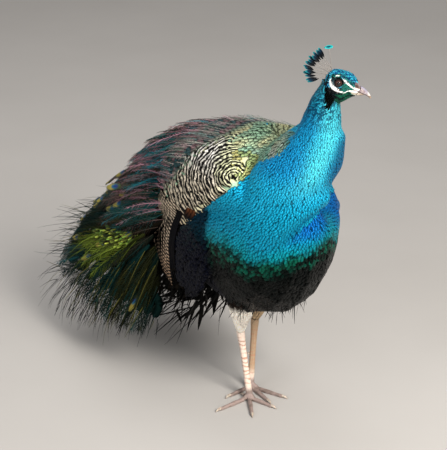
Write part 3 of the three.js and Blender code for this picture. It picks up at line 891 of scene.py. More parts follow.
def skin_material():
    """Bare skin: pores, and the scales of the shanks and toes."""
    nodes = Nodes("skin")
    coords = nodes.add("ShaderNodeTexCoord").outputs["Object"]
    cells = nodes.add("ShaderNodeTexVoronoi", feature="DISTANCE_TO_EDGE")
    nodes.link(coords, cells.inputs["Vector"])
    cells.inputs["Scale"].default_value = 420
    pits = nodes.ramp(cells.outputs["Distance"], 0.0, 0.12)
    grain = nodes.noise(700, 3)
    shade = nodes.math("MULTIPLY", nodes.math("MULTIPLY_ADD", grain, 0.3, 0.85),
                       nodes.math("MULTIPLY_ADD", pits, 0.16, 0.84))
    nodes.set(Base_Color=nodes.mixed(1.0, nodes.tint(), shade, "MULTIPLY"), Roughness=0.55,
              Subsurface_Weight=0.04, Subsurface_Scale=0.004)
    nodes.bump(nodes.math("ADD", nodes.math("MULTIPLY", pits, 0.6), grain), 0.00025)
    return nodes.material


EYE_SQUASH = 0.92  # the lids' height over their length


def skin_piece():
    """The skin with the relief of its legs and face."""
    verts, normals, _ = arrays(skin_mesh)
    zone = zone_of(verts)
    up = bird(verts)[2]
    # broad scutes down the shanks, and rings round the toes
    rings = 1 - np.abs((up / 6.2 + 0.1 * waves(verts, 0.01, 9)) % 1 * 2 - 1) ** 4
    lift = 0.35 * rings * ramp(up, 26, 36) * ramp(160 - up, 0, 8)
    for side in ("left", "right"):
        foot = box_centre(f"foot_{side}")
        mine = in_zone(zone, *LEG_NODES[side])
        reach = np.linalg.norm((verts - foot)[:, :2], axis=1) / MM
        rings = 1 - np.abs((reach / 4.6) % 1 * 2 - 1) ** 4
        lift = np.where(mine & (up < 22) & (reach > 12), 0.35 * rings * ramp(up, 4, 7), lift)
    # a low rim of skin round each eye
    towards, across, height = head_coords(verts)
    away = np.hypot(towards * EYE_SQUASH, height)
    rim = np.exp(-((away - 8.3) / 1.5) ** 2) * (np.abs(across) > 12)
    face = (1.1 * rim + 0.5 * face_white(verts) - 0.9 * nostril(verts)) * in_zone(zone, "head")
    verts = verts + normals * ((lift * in_zone(zone, *LEGS) + face) * MM)[:, None]
    set_verts(skin_mesh, verts)
    tint(skin_mesh, markings(verts, zone))
    piece("skin", skin_mesh, skin_material(), "leg_skin", *FLESH_NODES)


skin_piece()

# ------------------------------------------------------------------ feathers

body_surface = Surface(*body_outer)
head_surface = Surface(*head_outer)

# Shares of a feather's length where its outline is given, and its half width there
SMALL = np.array([[0, 0.35, 0.72, 0.93, 1.0], [0.35, 0.9, 1.0, 0.62, 0.22]])
TINY = np.array([[0, 0.45, 0.85, 1.0], [0.5, 1.0, 0.75, 0.25]])
SCALE = np.array([[0, 0.3, 0.6, 0.85, 0.96, 1.0], [0.3, 0.8, 1.0, 0.9, 0.55, 0.2]])
LONG = np.array([[0, 0.1, 0.22, 0.34, 0.46, 0.58, 0.7, 0.82, 0.92, 1.0],
                 [0.25, 0.55, 0.8, 0.93, 1.0, 1.0, 0.98, 0.88, 0.62, 0.18]])
FREE_FLIGHT_BEHIND = -560  # millimetres forward, behind which plumes may leave the train's end


def drape(surface, roots, ways, lengths, shares, steer=None):
    """Lines from the roots along a surface: their points and its normals there."""
    count = len(shares)
    points = np.empty((len(roots), count, 3))
    normals = np.empty((len(roots), count, 3))
    spot, normal, _ = surface.nearest(roots)
    way = ways
    for i in range(count):
        points[:, i], normals[:, i] = spot, normal
        if i + 1 == count:
            break
        if steer is not None:
            way = steer(spot, way)
        way = unit(way - normal * (way * normal).sum(-1, keepdims=True))
        step = (lengths * (shares[i + 1] - shares[i]))[:, None]
        target = spot + way * step
        near, near_normal, _ = surface.nearest(target)
        # past the end of the surface a plume goes on in the air
        gap = np.linalg.norm(near - target, axis=1, keepdims=True)
        free = (steer is not None) & (gap > 0.5 * step)
        free &= (bird(target)[0] < FREE_FLIGHT_BEHIND)[:, None]
        spot = np.where(free, target, near)
        normal = np.where(free, normal, near_normal)
    return points, normals


def strips(points, normals, half, thick, sides, camber):
    """Thin blades with three or four sides: vertices (blades, rings, sides, 3)."""
    along = unit(np.gradient(points, axis=1))
    across = unit(np.cross(along, normals))
    above = np.cross(across, along)
    half, thick = half[..., None], thick[..., None]
    left = points - across * half - above * half * camber
    right = points + across * half - above * half * camber
    ring = [left, points + above * thick, right]
    if sides == 4:
        ring.append(points - above * thick * 0.4)
    return np.stack(ring, 2)


def strip_faces(blades, rings, sides):
    """The walls of the blades, and the ends of those with four sides, as quads."""
    k, j = np.meshgrid(np.arange(rings - 1), np.arange(sides), indexing="ij")
    k, j = k.ravel(), j.ravel()
    following = (j + 1) % sides
    walls = np.stack([k * sides + j, k * sides + following,
                      (k + 1) * sides + following, (k + 1) * sides + j], 1)
    last = (rings - 1) * sides
    start = np.arange(sides)[::-1]
    one = [walls]
    if sides == 4:
        one.append(start[None])
        one.append(last + np.arange(sides)[None])
    one = np.concatenate(one)
    return (one[None] + (np.arange(blades) * rings * sides)[:, None, None]).reshape(-1, 4)


def unwrap(points):
    """A place for each point on the bird's skin opened along its belly, from 0 to 1."""
    spine = np.array(SPINE)
    lengths = np.linalg.norm(np.diff(spine, axis=0), axis=1)
    starts = np.concatenate([[0], np.cumsum(lengths)])
    best = np.full(len(points), 9.0)
    along = np.zeros(len(points))
    around = np.zeros(len(points))
    for i, length in enumerate(lengths):
        run = (spine[i + 1] - spine[i]) / length
        share = np.clip((points - spine[i]) @ run, 0, length)
        away = points - spine[i] - share[:, None] * run
        gap = np.linalg.norm(away, axis=1)
        side = unit(np.cross(run, UP))
        angle = np.arctan2(away @ side, away @ np.cross(side, run))
        closer = gap < best
        best = np.where(closer, gap, best)
        along = np.where(closer, starts[i] + share, along)
        around = np.where(closer, angle, around)
    spots = np.stack([around, along], 1)
    low, high = spots.min(0), spots.max(0)
    return 0.01 + 0.98 * (spots - low) / np.maximum(high - low, 1e-6)


PATCH = 0.003  # the size of one feather's patch on the bake map


def sheet_places(roots):
    """The middle of each large feather's own patch on the bake map, and the patches' size."""
    spots = unwrap(roots)
    rows = int(math.ceil(math.sqrt(len(roots))))
    order = np.lexsort((spots[:, 0], np.floor(spots[:, 1] * rows)))
    cell = np.empty(len(roots), int)
    cell[order] = np.arange(len(roots))
    centre = np.stack([(cell % rows + 0.5) / rows, (cell // rows + 0.5) / rows], 1)
    return centre, 0.94 / rows


class Coat:
    """Feathers gathered from their lines, widths and colours into one piece."""

    def __init__(self):
        self.rows = {"verts": [], "faces": [], "tint": [], "vane": [], "bake": [], "phase": []}
        self.count = 0

    def add(self, points, normals, half, thick, middle, edge, sides=4, camber=0.12, own=False,
            phase=None):
        """Adds blades along lines. Each has a patch of the bake map, its own or near its neighbours'."""
        blades, rings = points.shape[:2]
        verts = strips(points, normals, half, thick, sides, camber).reshape(-1, 3)
        lower = sides == 4
        colours = np.stack([edge, middle, edge] + [middle * 0.55] * lower, 2)
        out = np.stack([-half, 0 * half, half] + [0 * half] * lower, 2)
        steps = np.linalg.norm(np.diff(points, axis=1), axis=-1)
        along = np.concatenate([np.zeros((blades, 1)), np.cumsum(steps, 1)], 1)
        vane = np.stack([out, np.repeat(along[:, :, None], sides, 2)], -1)
        roots, size = sheet_places(points[:, 0]) if own else (unwrap(points[:, 0]), PATCH)
        wide = np.maximum(half.max(axis=1)[:, None, None] * 2, 1e-6)
        share = np.repeat((along / along[:, -1:] - 0.5)[:, :, None], sides, 2)
        bake = roots[:, None, None] + np.stack([out / wide, share], -1) * size
        if callable(phase):
            phase = phase(verts.reshape(blades, rings, sides, 3))
        elif phase is None:
            phase = np.zeros((blades, rings, sides))
        else:
            phase = np.repeat(phase[:, :, None], sides, 2)
        self.extend(verts, strip_faces(blades, rings, sides), colours, vane, bake, phase)

    def extend(self, verts, faces, colours, vane, bake, phase):
        added = {"verts": verts, "faces": faces + self.count, "tint": colours.reshape(-1, 3),
                 "vane": vane.reshape(-1, 2), "bake": bake.reshape(-1, 2),
                 "phase": phase.reshape(-1)}
        for key, rows in added.items():
            self.rows[key].append(rows)
        self.count += len(verts)

    def piece(self, name, material, slot, *nodes):
        """Makes all that was gathered into one piece."""
        rows = {key: np.concatenate(parts) for key, parts in self.rows.items()}
        mesh = make_mesh(name, rows["verts"], rows["faces"])
        tint(mesh, rows["tint"])
        layer = mesh.attributes.new("Phase", "FLOAT", "POINT")
        layer.data.foreach_set("value", rows["phase"].astype(np.float32))
        uv_map(mesh, "Vane", rows["vane"])
        uv_map(mesh, "OFBake", rows["bake"])
        mesh.uv_layers.active = mesh.uv_layers["OFBake"]
        piece(name, mesh, material, slot, *nodes)


def roots_on(surface, count, keep, spacing):
    """Evenly spread places on a surface, those that keep() accepts, spacing() apart:
    points, normals, zones and how far apart they are."""
    points, normals = surface.scatter(count)
    zone = zone_of(points)
    wanted = keep(points, zone)
    points, normals, zone = points[wanted], normals[wanted], zone[wanted]
    apart = spacing(points)
    kept = thinned(points, apart)
    return points[kept], normals[kept], zone[kept], apart[kept]


def plain_spacing(size):
    return lambda points: np.full(len(points), size * MM)


def turned(ways, normals, degrees):
    """Ways turned in the surface by angles drawn for each."""
    angle = np.radians(rng.normal(0, degrees, len(ways)))[:, None]
    return ways * np.cos(angle) + np.cross(normals, ways) * np.sin(angle)


def small_feathers(name, surface, places, outline, material, slot, nodes, *, rise, base_light,
                   tip_light=1.0, edge_light=1.0, long=2.7, wide=0.78, jitter=7, paint=markings,
                   ways=None, camber=0.12, phase=None, own_patches=False, sink=0.8, vary=0.18):
    """Short overlapping feathers that leave the skin and lie along the coat's outer surface.
    The places are from roots_on(), and long and wide are in their spacings."""
    roots, normals, zone, spacing = places
    shares, widths = outline
    lengths = spacing * long * rng.uniform(0.85, 1.15, len(roots))
    ways = lie(roots, normals) if ways is None else ways
    points, over = drape(surface, roots, turned(ways, normals, jitter), lengths, shares)
    depth = coat_depth(roots, zone)
    slope = np.minimum(depth, sink * MM)
    lift = -np.outer(slope, 1 - shares) - np.outer(depth - slope, (1 - shares) ** 6)
    lift += np.outer(rng.uniform(-0.4, 1.0, len(roots)) * rise * MM, shares ** 2)
    points += over * lift[..., None]
    half = np.outer(spacing * wide * rng.uniform(0.9, 1.1, len(roots)), widths)
    thick = np.outer(spacing * 0.03, 1.1 - shares * 0.7)
    colour = paint(roots, zone)
    colour = colour * rng.uniform(1 - vary, 1 + vary, (len(roots), 1))
    base = np.broadcast_to(base_light, len(roots))[:, None]
    light = base + (tip_light - base) * shares ** 1.5
    middle = colour[:, None] * light[..., None]
    gathered = Coat()
    gathered.add(points, over, half, thick, middle, middle * edge_light, camber=camber,
                 own=own_patches, phase=phase)
    gathered.piece(name, material, slot, *nodes)


silky = feather_material("silky_feathers", 0.42, 0.5, 0.0012, 0.05)
velvet = feather_material("velvet_feathers", 0.5, 0.4, 0.0006, 0.1)
glossy = feather_material("glossy_feathers", 0.45, 0.4, 0.0012, 0.15)
matt = feather_material("matt_feathers", 0.85, 0.0, 0.0012, 0.015)


# Head: tiny scale-like feathers, left off the bare white skin and the eyelids
def on_head(points, zone):
    towards, side, up = head_coords(points)
    eye = np.hypot(towards * EYE_SQUASH, up) < 9.6
    bare = (face_white(points) > 0.4) | (eye & (np.abs(side) > 8))
    return in_zone(zone, "head") & ~bare & ~is_horn(points)


places = roots_on(head_surface, 60000, on_head, plain_spacing(1.7))
small_feathers("coat_head", head_surface, places, TINY, velvet, "head_plumage", ["head"], rise=0.35,
               base_light=0.26, tip_light=1.25, jitter=12, wide=0.62, long=2.2)


# Upper neck: feathers that grow from the head's size to the neck's
def on_upper_neck(points, zone):
    return in_zone(zone, "neck_upper") & (bird(points)[2] > FINE_FROM)


def neck_spacing(points):
    return np.interp(bird(points)[2], [560, 690, 770], [4.4, 3.2, 2.3]) * MM


places = roots_on(head_surface, 60000, on_upper_neck, neck_spacing)
nape = np.interp(bird(places[0])[2], [695, 730, 770], [0.92, 0.5, 0.05])
small_feathers("coat_neck_upper", head_surface, places, SMALL, silky, "blue_plumage", ["neck_upper"],
               rise=0.1, base_light=nape, jitter=6, wide=0.72, camber=0.04, long=2.5)


# Neck and breast, down to the black belly
def on_front(points, zone):
    return is_front(points, zone) & (bird(points)[2] <= FINE_FROM)


def front_spacing(points):
    return np.interp(bird(points)[2], [300, 420, 520, 690], [7.0, 5.0, 4.0, 3.2]) * MM


NECK_FROM = 470  # millimetres up, where the neck's piece starts and the breast's ends
places = roots_on(body_surface, 150000, on_front, front_spacing)
height = bird(places[0])[2]
light = np.interp(height, [370, 440, 520], [0.25, 0.85, 1.0])
for name, mask, nodes in (("coat_neck", height > NECK_FROM, ["neck_lower"]),
                          ("coat_breast", height <= NECK_FROM, ["breast"])):
    small_feathers(name, body_surface, [rows[mask] for rows in places], SMALL, silky, "blue_plumage",
                   nodes, rise=0.05, base_light=light[mask], wide=0.92, camber=0.02, sink=0.35,
                   vary=0.08)


# ---- barred shoulders, with a band of yellow green in front of them

def is_barred(points, zone):
    forward, left, up = bird(points)
    inside = (up > BARRED_UP[0]) & (up < BARRED_UP[-1]) & (np.abs(left) > 58)
    inside &= (forward < barred_front(up) + 1.3 * far_bulge(left, up)) & (forward > barred_rear(up))
    return inside & ~is_front(points, zone) & ~in_zone(zone, *THIGHS)


SHOULDER = {side: place(138, side * 108, 530) for side in (1, -1)}
BAR_CENTRE = {side: place(96, side * 108, 566) for side in (1, -1)}
BAR_OUT = unit(np.array([-0.51, -0.78, 0.37]))  # the bars lie about round this way, on the right


def side_of(points):
    return np.where(bird(points)[1] > 0, 1, -1)


def from_shoulder(points, centres):
    side = side_of(points)
    return points - np.where((side > 0)[..., None], centres[1], centres[-1])


def shoulder_ways(points, normals):
    """The scapulars fan out behind the shoulder."""
    way = unit(from_shoulder(points, SHOULDER)) + np.array([0, 0.55, 0.0])
    return unit(way - normals * (way * normals).sum(-1, keepdims=True))


def bar_phase(points):
    """Turns of the bars, which run in wavy arcs round the shoulder."""
    away = from_shoulder(points, BAR_CENTRE)
    out = np.where((side_of(points) > 0)[..., None], BAR_OUT * [-1, 1, 1], BAR_OUT)
    flat_away = away - out * (away * out).sum(-1, keepdims=True)
    reach = np.linalg.norm(flat_away, axis=-1)
    flat = points.reshape(-1, 3)
    wobble = (waves(flat, 0.018, 21) * 0.36 + waves(flat, 0.0075, 22) * 0.33).reshape(reach.shape)
    return reach / (6.3 * MM) + wobble


def barred_paint(points, zone):
    forward, _, up = bird(points)
    colour = mix((0.74, 0.65, 0.50), (0.66, 0.64, 0.60), ramp(up, 520, 590))
    colour = mix(colour, (0.60, 0.46, 0.30), ramp(500 - up, 0, 70) * 0.6)
    near_band = ramp(forward - barred_front(up), -42, -4)
    return mix(colour, (0.74, 0.78, 0.40), near_band * 0.7)


def barred_material(name, wobble, dark):
    """Dark bars where the turns of Phase say so, over the coat's own colour."""
    nodes = Nodes(name)
    phase = nodes.add("ShaderNodeAttribute", attribute_name="Phase").outputs["Fac"]
    grain = nodes.math("SUBTRACT", nodes.noise(220, 2), 0.5)
    turns = nodes.math("MULTIPLY", nodes.math("MULTIPLY_ADD", grain, wobble, phase), 2 * math.pi)
    light = nodes.ramp(nodes.math("SINE", turns), 0.02, 0.44)
    barbs = nodes.barbs(0.0012)
    shade = nodes.math("MULTIPLY_ADD", barbs, 0.18, 0.88)
    colour = nodes.mixed(light, dark, nodes.tint())
    nodes.set(Base_Color=nodes.mixed(1.0, colour, shade, "MULTIPLY"), Roughness=0.65,
              Specular_IOR_Level=0.1)
    nodes.bump(barbs, BARB_RELIEF)
    return nodes.material


barred = barred_material("barred_feathers", 0.35, (0.006, 0.005, 0.005))
places = roots_on(body_surface, 60000, is_barred, plain_spacing(10.5))
small_feathers("coat_barred", body_surface, places, SCALE, barred, "barred_plumage",
               ["wing_left_coverts", "wing_right_coverts"], rise=0.1, base_light=1.0, long=3.0,
               wide=1.0, paint=barred_paint, camber=0.02, jitter=3,
               ways=shoulder_ways(places[0], places[1]), phase=bar_phase, own_patches=True)


def is_band(points, zone):
    forward, left, up = bird(points)
    ahead = forward - barred_front(up) - far_bulge(left, up)
    inside = (ahead > -1) & (ahead < 44) & (up > 495) & (up < 612) & (np.abs(left) > 52)
    return inside & ~is_front(points, zone)


def mantle_paint(points, zone):
    patch = ramp(waves(points, 0.02, 23), -0.6, 0.8)
    band = mix((0.52, 0.50, 0.19), (0.33, 0.44, 0.19), patch)
    colour = np.where(is_band(points, zone)[:, None], band, back_colour(points))
    return mix(colour, (0.02, 0.30, 0.38), ramp(bird(points)[2], 640, 680) * 0.75)


def is_mantle(points, zone):
    forward, _, up = bird(points)
    return (up > BACK_FROM) & ~is_front(points, zone) & ~is_barred(points, zone) & (forward > -210)


def mantle_spacing(points):
    return np.interp(-bird(points)[0], [-120, 0, 100, 200], [5.4, 6.2, 7.5, 11.0]) * MM


places = roots_on(body_surface, 90000, is_mantle, mantle_spacing)
small_feathers("coat_mantle", body_surface, places, SCALE, glossy, "scaly_plumage", ["mantle"],
               rise=0.25, base_light=0.8, edge_light=0.32, long=2.3, wide=0.84, paint=mantle_paint,
               jitter=5, camber=0.05)


# ---- loose dark feathers of the belly, flanks, rump and vent, and the short ones of the thighs

def is_under(points, zone):
    rest = ~is_front(points, zone) & (bird(points)[2] <= BACK_FROM) & ~is_barred(points, zone)
    return rest & in_zone(zone, "trunk", "rump", "undertail", "breast", *WINGS)


def under_paint(points, zone):
    forward, _, up = bird(points)
    patch = waves(points, 0.03, 31)
    colour = mix((0.003, 0.003, 0.003), (0.010, 0.008, 0.006), ramp(patch, 0, 1))
    return mix(colour, (0.020, 0.015, 0.011), ramp(-forward, 180, 300) * ramp(260 - up, 0, 90) * 0.6)


places = roots_on(body_surface, 90000, is_under, plain_spacing(10))
small_feathers("coat_under", body_surface, places, SCALE, matt, "dark_plumage",
               ["trunk", "rump", "undertail"], rise=2.5, base_light=0.6, edge_light=0.8, long=3.2,
               wide=0.6, paint=under_paint, jitter=14)


def thigh_spacing(points):
    return np.interp(bird(points)[2], [160, 190, 240], [2.2, 3.4, 5.5]) * MM


# base and tip lights above 1 make the thighs lighter than their own colour, as painted light
places = roots_on(body_surface, 260000, lambda points, zone: in_zone(zone, *THIGHS), thigh_spacing)
small_feathers("coat_thighs", body_surface, places, SMALL, matt, "thigh_plumage", THIGHS, rise=0.5,
               base_light=1.1, tip_light=1.3, long=2.8, jitter=8,
               paint=lambda points, zone: thigh_colour(points))


# ------------------------------------------------------------------ wings

def quills(name, rows, half, paint, material, slot, nodes, lift, period=None):
    """Flight feathers down both flanks. Each row gives forward and up of its root, of the
    place it bows towards and of its tip."""
    shares, widths = LONG
    gathered = Coat()
    for side in (1, -1):
        row = np.array(rows, float)[:, None]
        s = shares[None, :, None]
        line = row[..., 0:2] * (1 - s) ** 2 + row[..., 2:4] * 2 * s * (1 - s) + row[..., 4:6] * s ** 2
        spots = place(line[..., 0], side * 150, line[..., 1])
        flat, normals, _ = body_surface.nearest(spots.reshape(-1, 3))
        flat[:, 1:] = spots.reshape(-1, 3)[:, 1:]
        points, normals = flat.reshape(spots.shape), normals.reshape(spots.shape)
        normals = unit(normals + normals.mean(1, keepdims=True) * 2)
        order = np.arange(len(rows))[:, None] * 0.5
        rise = -3 + (lift + 3 + order) * ramp(shares, 0, 0.3) - 2.0 * ramp(shares, 0.8, 1)
        points = points + normals * (rise * MM)[..., None]
        steps = np.linalg.norm(np.diff(points, axis=1), axis=-1)
        along = np.concatenate([np.zeros((len(rows), 1)), np.cumsum(steps, 1)], 1)
        phase = None
        if period:
            phase = along / (period * MM) + rng.uniform(0, 1, (len(rows), 1))
        middle = paint(points)
        gathered.add(points, normals, widths * half * MM * np.ones_like(along),
                     (1.2 - shares * 0.7) * 0.5 * MM * np.ones_like(along), middle, middle * 0.8,
                     camber=0.1, own=True, phase=phase)
    gathered.piece(name, material, slot, *nodes)


def dark_quill_paint(points):
    patch = waves(points.reshape(-1, 3), 0.03, 41).reshape(points.shape[:-1])
    return mix((0.003, 0.003, 0.004), (0.008, 0.006, 0.005), ramp(patch, 0, 1))


def chestnut_paint(points):
    return mix((0.006, 0.005, 0.005), (0.09, 0.03, 0.012), ramp(bird(points)[2], 446, 466))


def tertial_paint(points):
    up = bird(points)[2]
    return mix((0.30, 0.20, 0.13), (0.66, 0.54, 0.40), ramp(up, 300, 430))


jet = feather_material("jet_feathers", 0.6, 0.0, 0.0016, 0.03)
quills("quills_chestnut", [(-2 - 9 * k, 470, -10 - 9 * k, 458, -20 - 9 * k, 440) for k in range(3)],
       6, chestnut_paint, jet, "chestnut_plumage", ["wing_left_primaries", "wing_right_primaries"],
       lift=0.5)
quills("quills_dark", [(-44 - 7 * k, 462, -82 - 7 * k, 400, -74 - 7 * k, 296 - 9 * k) for k in range(3)],
       7, dark_quill_paint, jet, "dark_plumage", [], lift=1.5)
vermiculated = barred_material("vermiculated_feathers", 1.0, (0.006, 0.004, 0.003))
quills("quills_barred", [(-66 - 12 * k, 490 - 4 * k, -112 - 14 * k, 400, -100 - 7 * k, 262 + 7 * k)
                         for k in range(8)],
       13, tertial_paint, vermiculated, "barred_plumage",
       ["wing_left_secondaries", "wing_right_secondaries"], lift=3.0, period=8.0)

# ------------------------------------------------------------------ train

train_verts, _, train_tris = arrays(shell(TRAIN_NODES, 4.6 * MM, 25, grow=3 * MM))
# Places along the train, from its end to its start, and in millimetres what is there
TRAIN_FORWARD = [-695, -559, -422, -286, -150]
HOLLOW_UP = [15, 70, 130, 215, 300]  # the middle of the hollow under it
HOLLOW_LEFT = [-70, -48, -28, -9, 0]
HEM_UP = [8, 16, 52, 84, 120]  # its lowest loose ends
DENSE_UP = [60, 170, 196, 196, 190]  # the lower border of its close plumage
TRAIN_LEFT = -15  # the ridge, which lies to the right of the bird's middle


def under_train(points):
    """The middle of the hollow under the train, at each point's place along it."""
    forward = bird(points)[0]
    return place(forward, np.interp(forward, TRAIN_FORWARD, HOLLOW_LEFT),
                 np.interp(forward, TRAIN_FORWARD, HOLLOW_UP))


tri_middles = train_verts[train_tris].mean(1)
tri_normals = unit(np.cross(train_verts[train_tris[:, 1]] - train_verts[train_tris[:, 0]],
                            train_verts[train_tris[:, 2]] - train_verts[train_tris[:, 0]]))
outward = ((tri_middles - under_train(tri_middles)) * tri_normals).sum(1) > 0.012
train_surface = Surface(train_verts, train_tris[outward])
rear_surface = Surface(*join_surfaces(body_outer, (train_verts, train_tris[outward])))


def train_flow(points):
    """The plumes run back along the ridge and hang down the sides."""
    away = points - under_train(points)
    high = ramp(away[..., 2] / np.linalg.norm(away, axis=-1), -0.1, 0.95)
    rear = 0.50 + 0.7 * high
    down = 1.05 - 0.75 * high
    return unit(np.stack([np.full_like(rear, -0.10), rear, -down], -1))


def train_steer(spots, ways):
    return unit(ways * 0.6 + train_flow(spots) * 0.4)


GOLD_PATCH = (-305, 308)
GOLD_SLOPE = 0.31


def train_colour(points):
    """Dark bronze and teal, copper on the front of the ridge and a gold green patch on the flank."""
    forward, left, up = bird(points)
    patch = waves(points, 0.03, 51)
    large = waves(points, 0.09, 52)
    colour = mix((0.026, 0.030, 0.011), (0.008, 0.042, 0.040), ramp(patch + 0.4 * large, -0.2, 0.7))
    colour = colour * (0.45 + 0.9 * ramp(waves(points, 0.022, 54), -0.6, 0.8))[:, None]
    top = ramp(forward, -390, -230) * ramp(up, 330, 430)
    streak = mix((0.20, 0.115, 0.11), (0.02, 0.13, 0.13), ramp(patch, -0.3, 0.3))
    colour = mix(colour, streak, top * ramp(waves(points, 0.016, 53), -0.4, 0.2) * 0.9)
    along, over = forward - GOLD_PATCH[0], up - GOLD_PATCH[1]
    gap = np.hypot(along / 82, (over - GOLD_SLOPE * along) / 27)
    gold = (1 - ramp(gap + 0.3 * patch, 0.6, 1.1)) * ramp(np.abs(left - TRAIN_LEFT), 90, 120)
    colour = mix(colour, (0.30, 0.42, 0.055), gold * 0.85)
    colour = mix(colour, (0.010, 0.060, 0.066), ramp(-forward, 400, 520) * 0.6)
    return mix(colour, (0.004, 0.005, 0.0045), ramp(225 - up, 0, 80) * 0.85)


def hem(points, heights=HEM_UP):
    """Metres up to the train's lower border, at each point's place along it."""
    return np.interp(bird(points)[0], TRAIN_FORWARD, heights) * MM


BOX_LOW = np.array(CAD_BOX[0]) + [-0.012, -0.030, 0.0015]
BOX_HIGH = np.array(CAD_BOX[1]) + [0.012, 0.030, 0.02]


def within_box(points):
    """Keeps loose ends near the CAD box, and off the floor."""
    return np.clip(points, BOX_LOW, BOX_HIGH)


def within_end(roots, lengths):
    """Lengths that end at different places before the rear side of the box."""
    room = CAD_BOX[1][1] + 0.026 - roots[:, 1]
    return np.minimum(lengths, room * rng.uniform(0.7, 1.25, len(roots)))


SHAFT_RINGS = 8


def strands(gathered, points, normals, half, thick, colours):
    """Thin tapering barbs or hanging ends."""
    shares = np.linspace(0, 1, points.shape[1])
    taper = 1 - 0.75 * shares ** 2
    middle = colours[:, None] * (1 - 0.2 * shares)[None, :, None]
    gathered.add(within_box(points), normals, np.outer(half, taper), np.outer(thick, taper), middle,
                 middle * 0.85, sides=3, camber=0.2)


def bridge(surface, roots, ways, lengths, shares, _steer):
    """Lines that run on over the gaps in a surface and stay a little above it."""
    points = roots[:, None] + ways[:, None] * (lengths[:, None] * shares)[..., None]
    points[..., 2] -= 0.22 * lengths[:, None] * shares ** 2
    near, normals, _ = surface.nearest(points.reshape(-1, 3))
    near, normals = near.reshape(points.shape), normals.reshape(points.shape)
    above = ((points - near) * normals).sum(-1)
    points = points + normals * (np.clip(above, 2 * MM, 9 * MM) - above)[..., None]
    for _ in range(3):
        points[:, 1:-1] = (points[:, :-2] + 2 * points[:, 1:-1] + points[:, 2:]) / 4
        normals[:, 1:-1] = unit(normals[:, :-2] + normals[:, 1:-1] + normals[:, 2:])
    return points, normals


def plumes(gathered, surface, roots, normals, lengths, reach, barbs, colours, rise, steer=train_steer,
           flow=train_flow, sag=0, follow=drape):
    """Loose plumes: a shaft that follows the surface and barbs on both sides of it."""
    shares = np.linspace(0, 1, SHAFT_RINGS)
    ways = turned(flow(roots), normals, 9)
    points, over = follow(surface, roots, ways, within_end(roots, lengths), shares, steer)
    over = unit(over + over.mean(1, keepdims=True))
    lift = -4 + np.outer(rng.uniform(0.3, 1.0, len(roots)) * rise + 4, shares ** 1.3)
    points = points + over * (lift * MM)[..., None] - UP * (sag * MM * shares ** 2)[:, None]
    points = within_box(points)
    half = 0.75 * MM * np.ones(len(roots))
    strands(gathered, points, over, half, half * 0.8, colours * 1.5 + 0.01)
    along = unit(np.gradient(points, axis=1))
    across = unit(np.cross(along, over))
    share = np.tile(np.linspace(0.1, 0.985, barbs), (len(roots), 1))
    share += rng.uniform(-0.5, 0.5, share.shape) / barbs
    share = np.clip(share, 0, 0.999)
    cell = share * (SHAFT_RINGS - 1)
    low = np.floor(cell).astype(int)
    part = (cell - low)[..., None]
    row = np.arange(len(roots))[:, None]

    def at(values):
        return values[row, low] * (1 - part) + values[row, low + 1] * part

    base, run, side, top = at(points), unit(at(along)), unit(at(across)), unit(at(over))
    hand = np.where(np.arange(barbs) % 2 == 0, 1.0, -1.0)[None, :, None]
    angle = np.radians(np.interp(share, [0, 0.8, 1], [44, 36, 14]) + rng.normal(0, 6, share.shape))
    reaches = reach[:, None] * np.interp(share, [0, 0.3, 0.8, 1], [0.55, 1, 0.95, 0.55])
    reaches = reaches * rng.uniform(0.75, 1.2, share.shape)
    way = run * np.cos(angle)[..., None] + side * hand * np.sin(angle)[..., None]
    way = unit(way + top * rng.normal(0.03, 0.08, (*share.shape, 1)))
    steps = np.array([0.0, 0.5, 1.0])
    lines = base[:, :, None] + way[:, :, None] * (reaches[..., None] * steps)[..., None]
    bend = run[:, :, None] * 0.25 + np.array([0, 0, -0.12])
    lines = lines + bend * (reaches[..., None] * steps ** 2)[..., None]
    flat = lines.reshape(-1, 3, 3)
    many = np.repeat(top.reshape(-1, 1, 3), 3, 1)
    shade = np.repeat(colours, barbs, 0) * rng.uniform(0.6, 1.4, (len(flat), 1))
    half = rng.uniform(0.45, 0.75, len(flat)) * MM
    strands(gathered, flat, many, half, half * 0.6, shade)
    return points, over


train_feathers = feather_material("train_feathers", 0.42, 0.4, 0.0016, 0.0, 0.5)


def scatter_on(surface, count, keep, size):
    """Evenly spread places on a surface, size millimetres apart."""
    points, normals = surface.scatter(count)
    wanted = keep(points)
    points, normals = points[wanted], normals[wanted]
    kept = thinned(points, np.full(len(points), size * MM))
    return points[kept], normals[kept]


def over_hem(points, least):
    return (points[:, 2] > hem(points, DENSE_UP) + least * MM) & (bird(points)[0] > -505)


# Broad dark vanes close the arch, under everything that shows; their colour is the train's, darkened as
# painted shade
roots, normals = scatter_on(train_surface, 14000, lambda p: over_hem(p, 12), 21)
shares, widths = LONG
room = (roots[:, 2] - hem(roots, DENSE_UP)) / MM
lengths = np.minimum(rng.uniform(110, 170, len(roots)), room * 0.9 + 45) * MM
lengths = within_end(roots, lengths) * 0.85
points, over = drape(train_surface, roots, turned(train_flow(roots), normals, 7), lengths, shares,
                     train_steer)
points = points + over * (np.outer(np.ones(len(roots)), -8 + 5 * shares) * MM)[..., None]
middle = (train_colour(roots) * 0.55)[:, None] * np.ones((1, len(shares), 1))
half = np.outer(rng.uniform(10, 14, len(roots)) * MM, widths)
under_vanes = Coat()
under_vanes.add(within_box(points), over, half, np.full(half.shape, 0.5 * MM), middle, middle * 0.6,
                camber=0.15)
under_vanes.piece("train_under", matt, "train_plumage", *TRAIN_NODES)

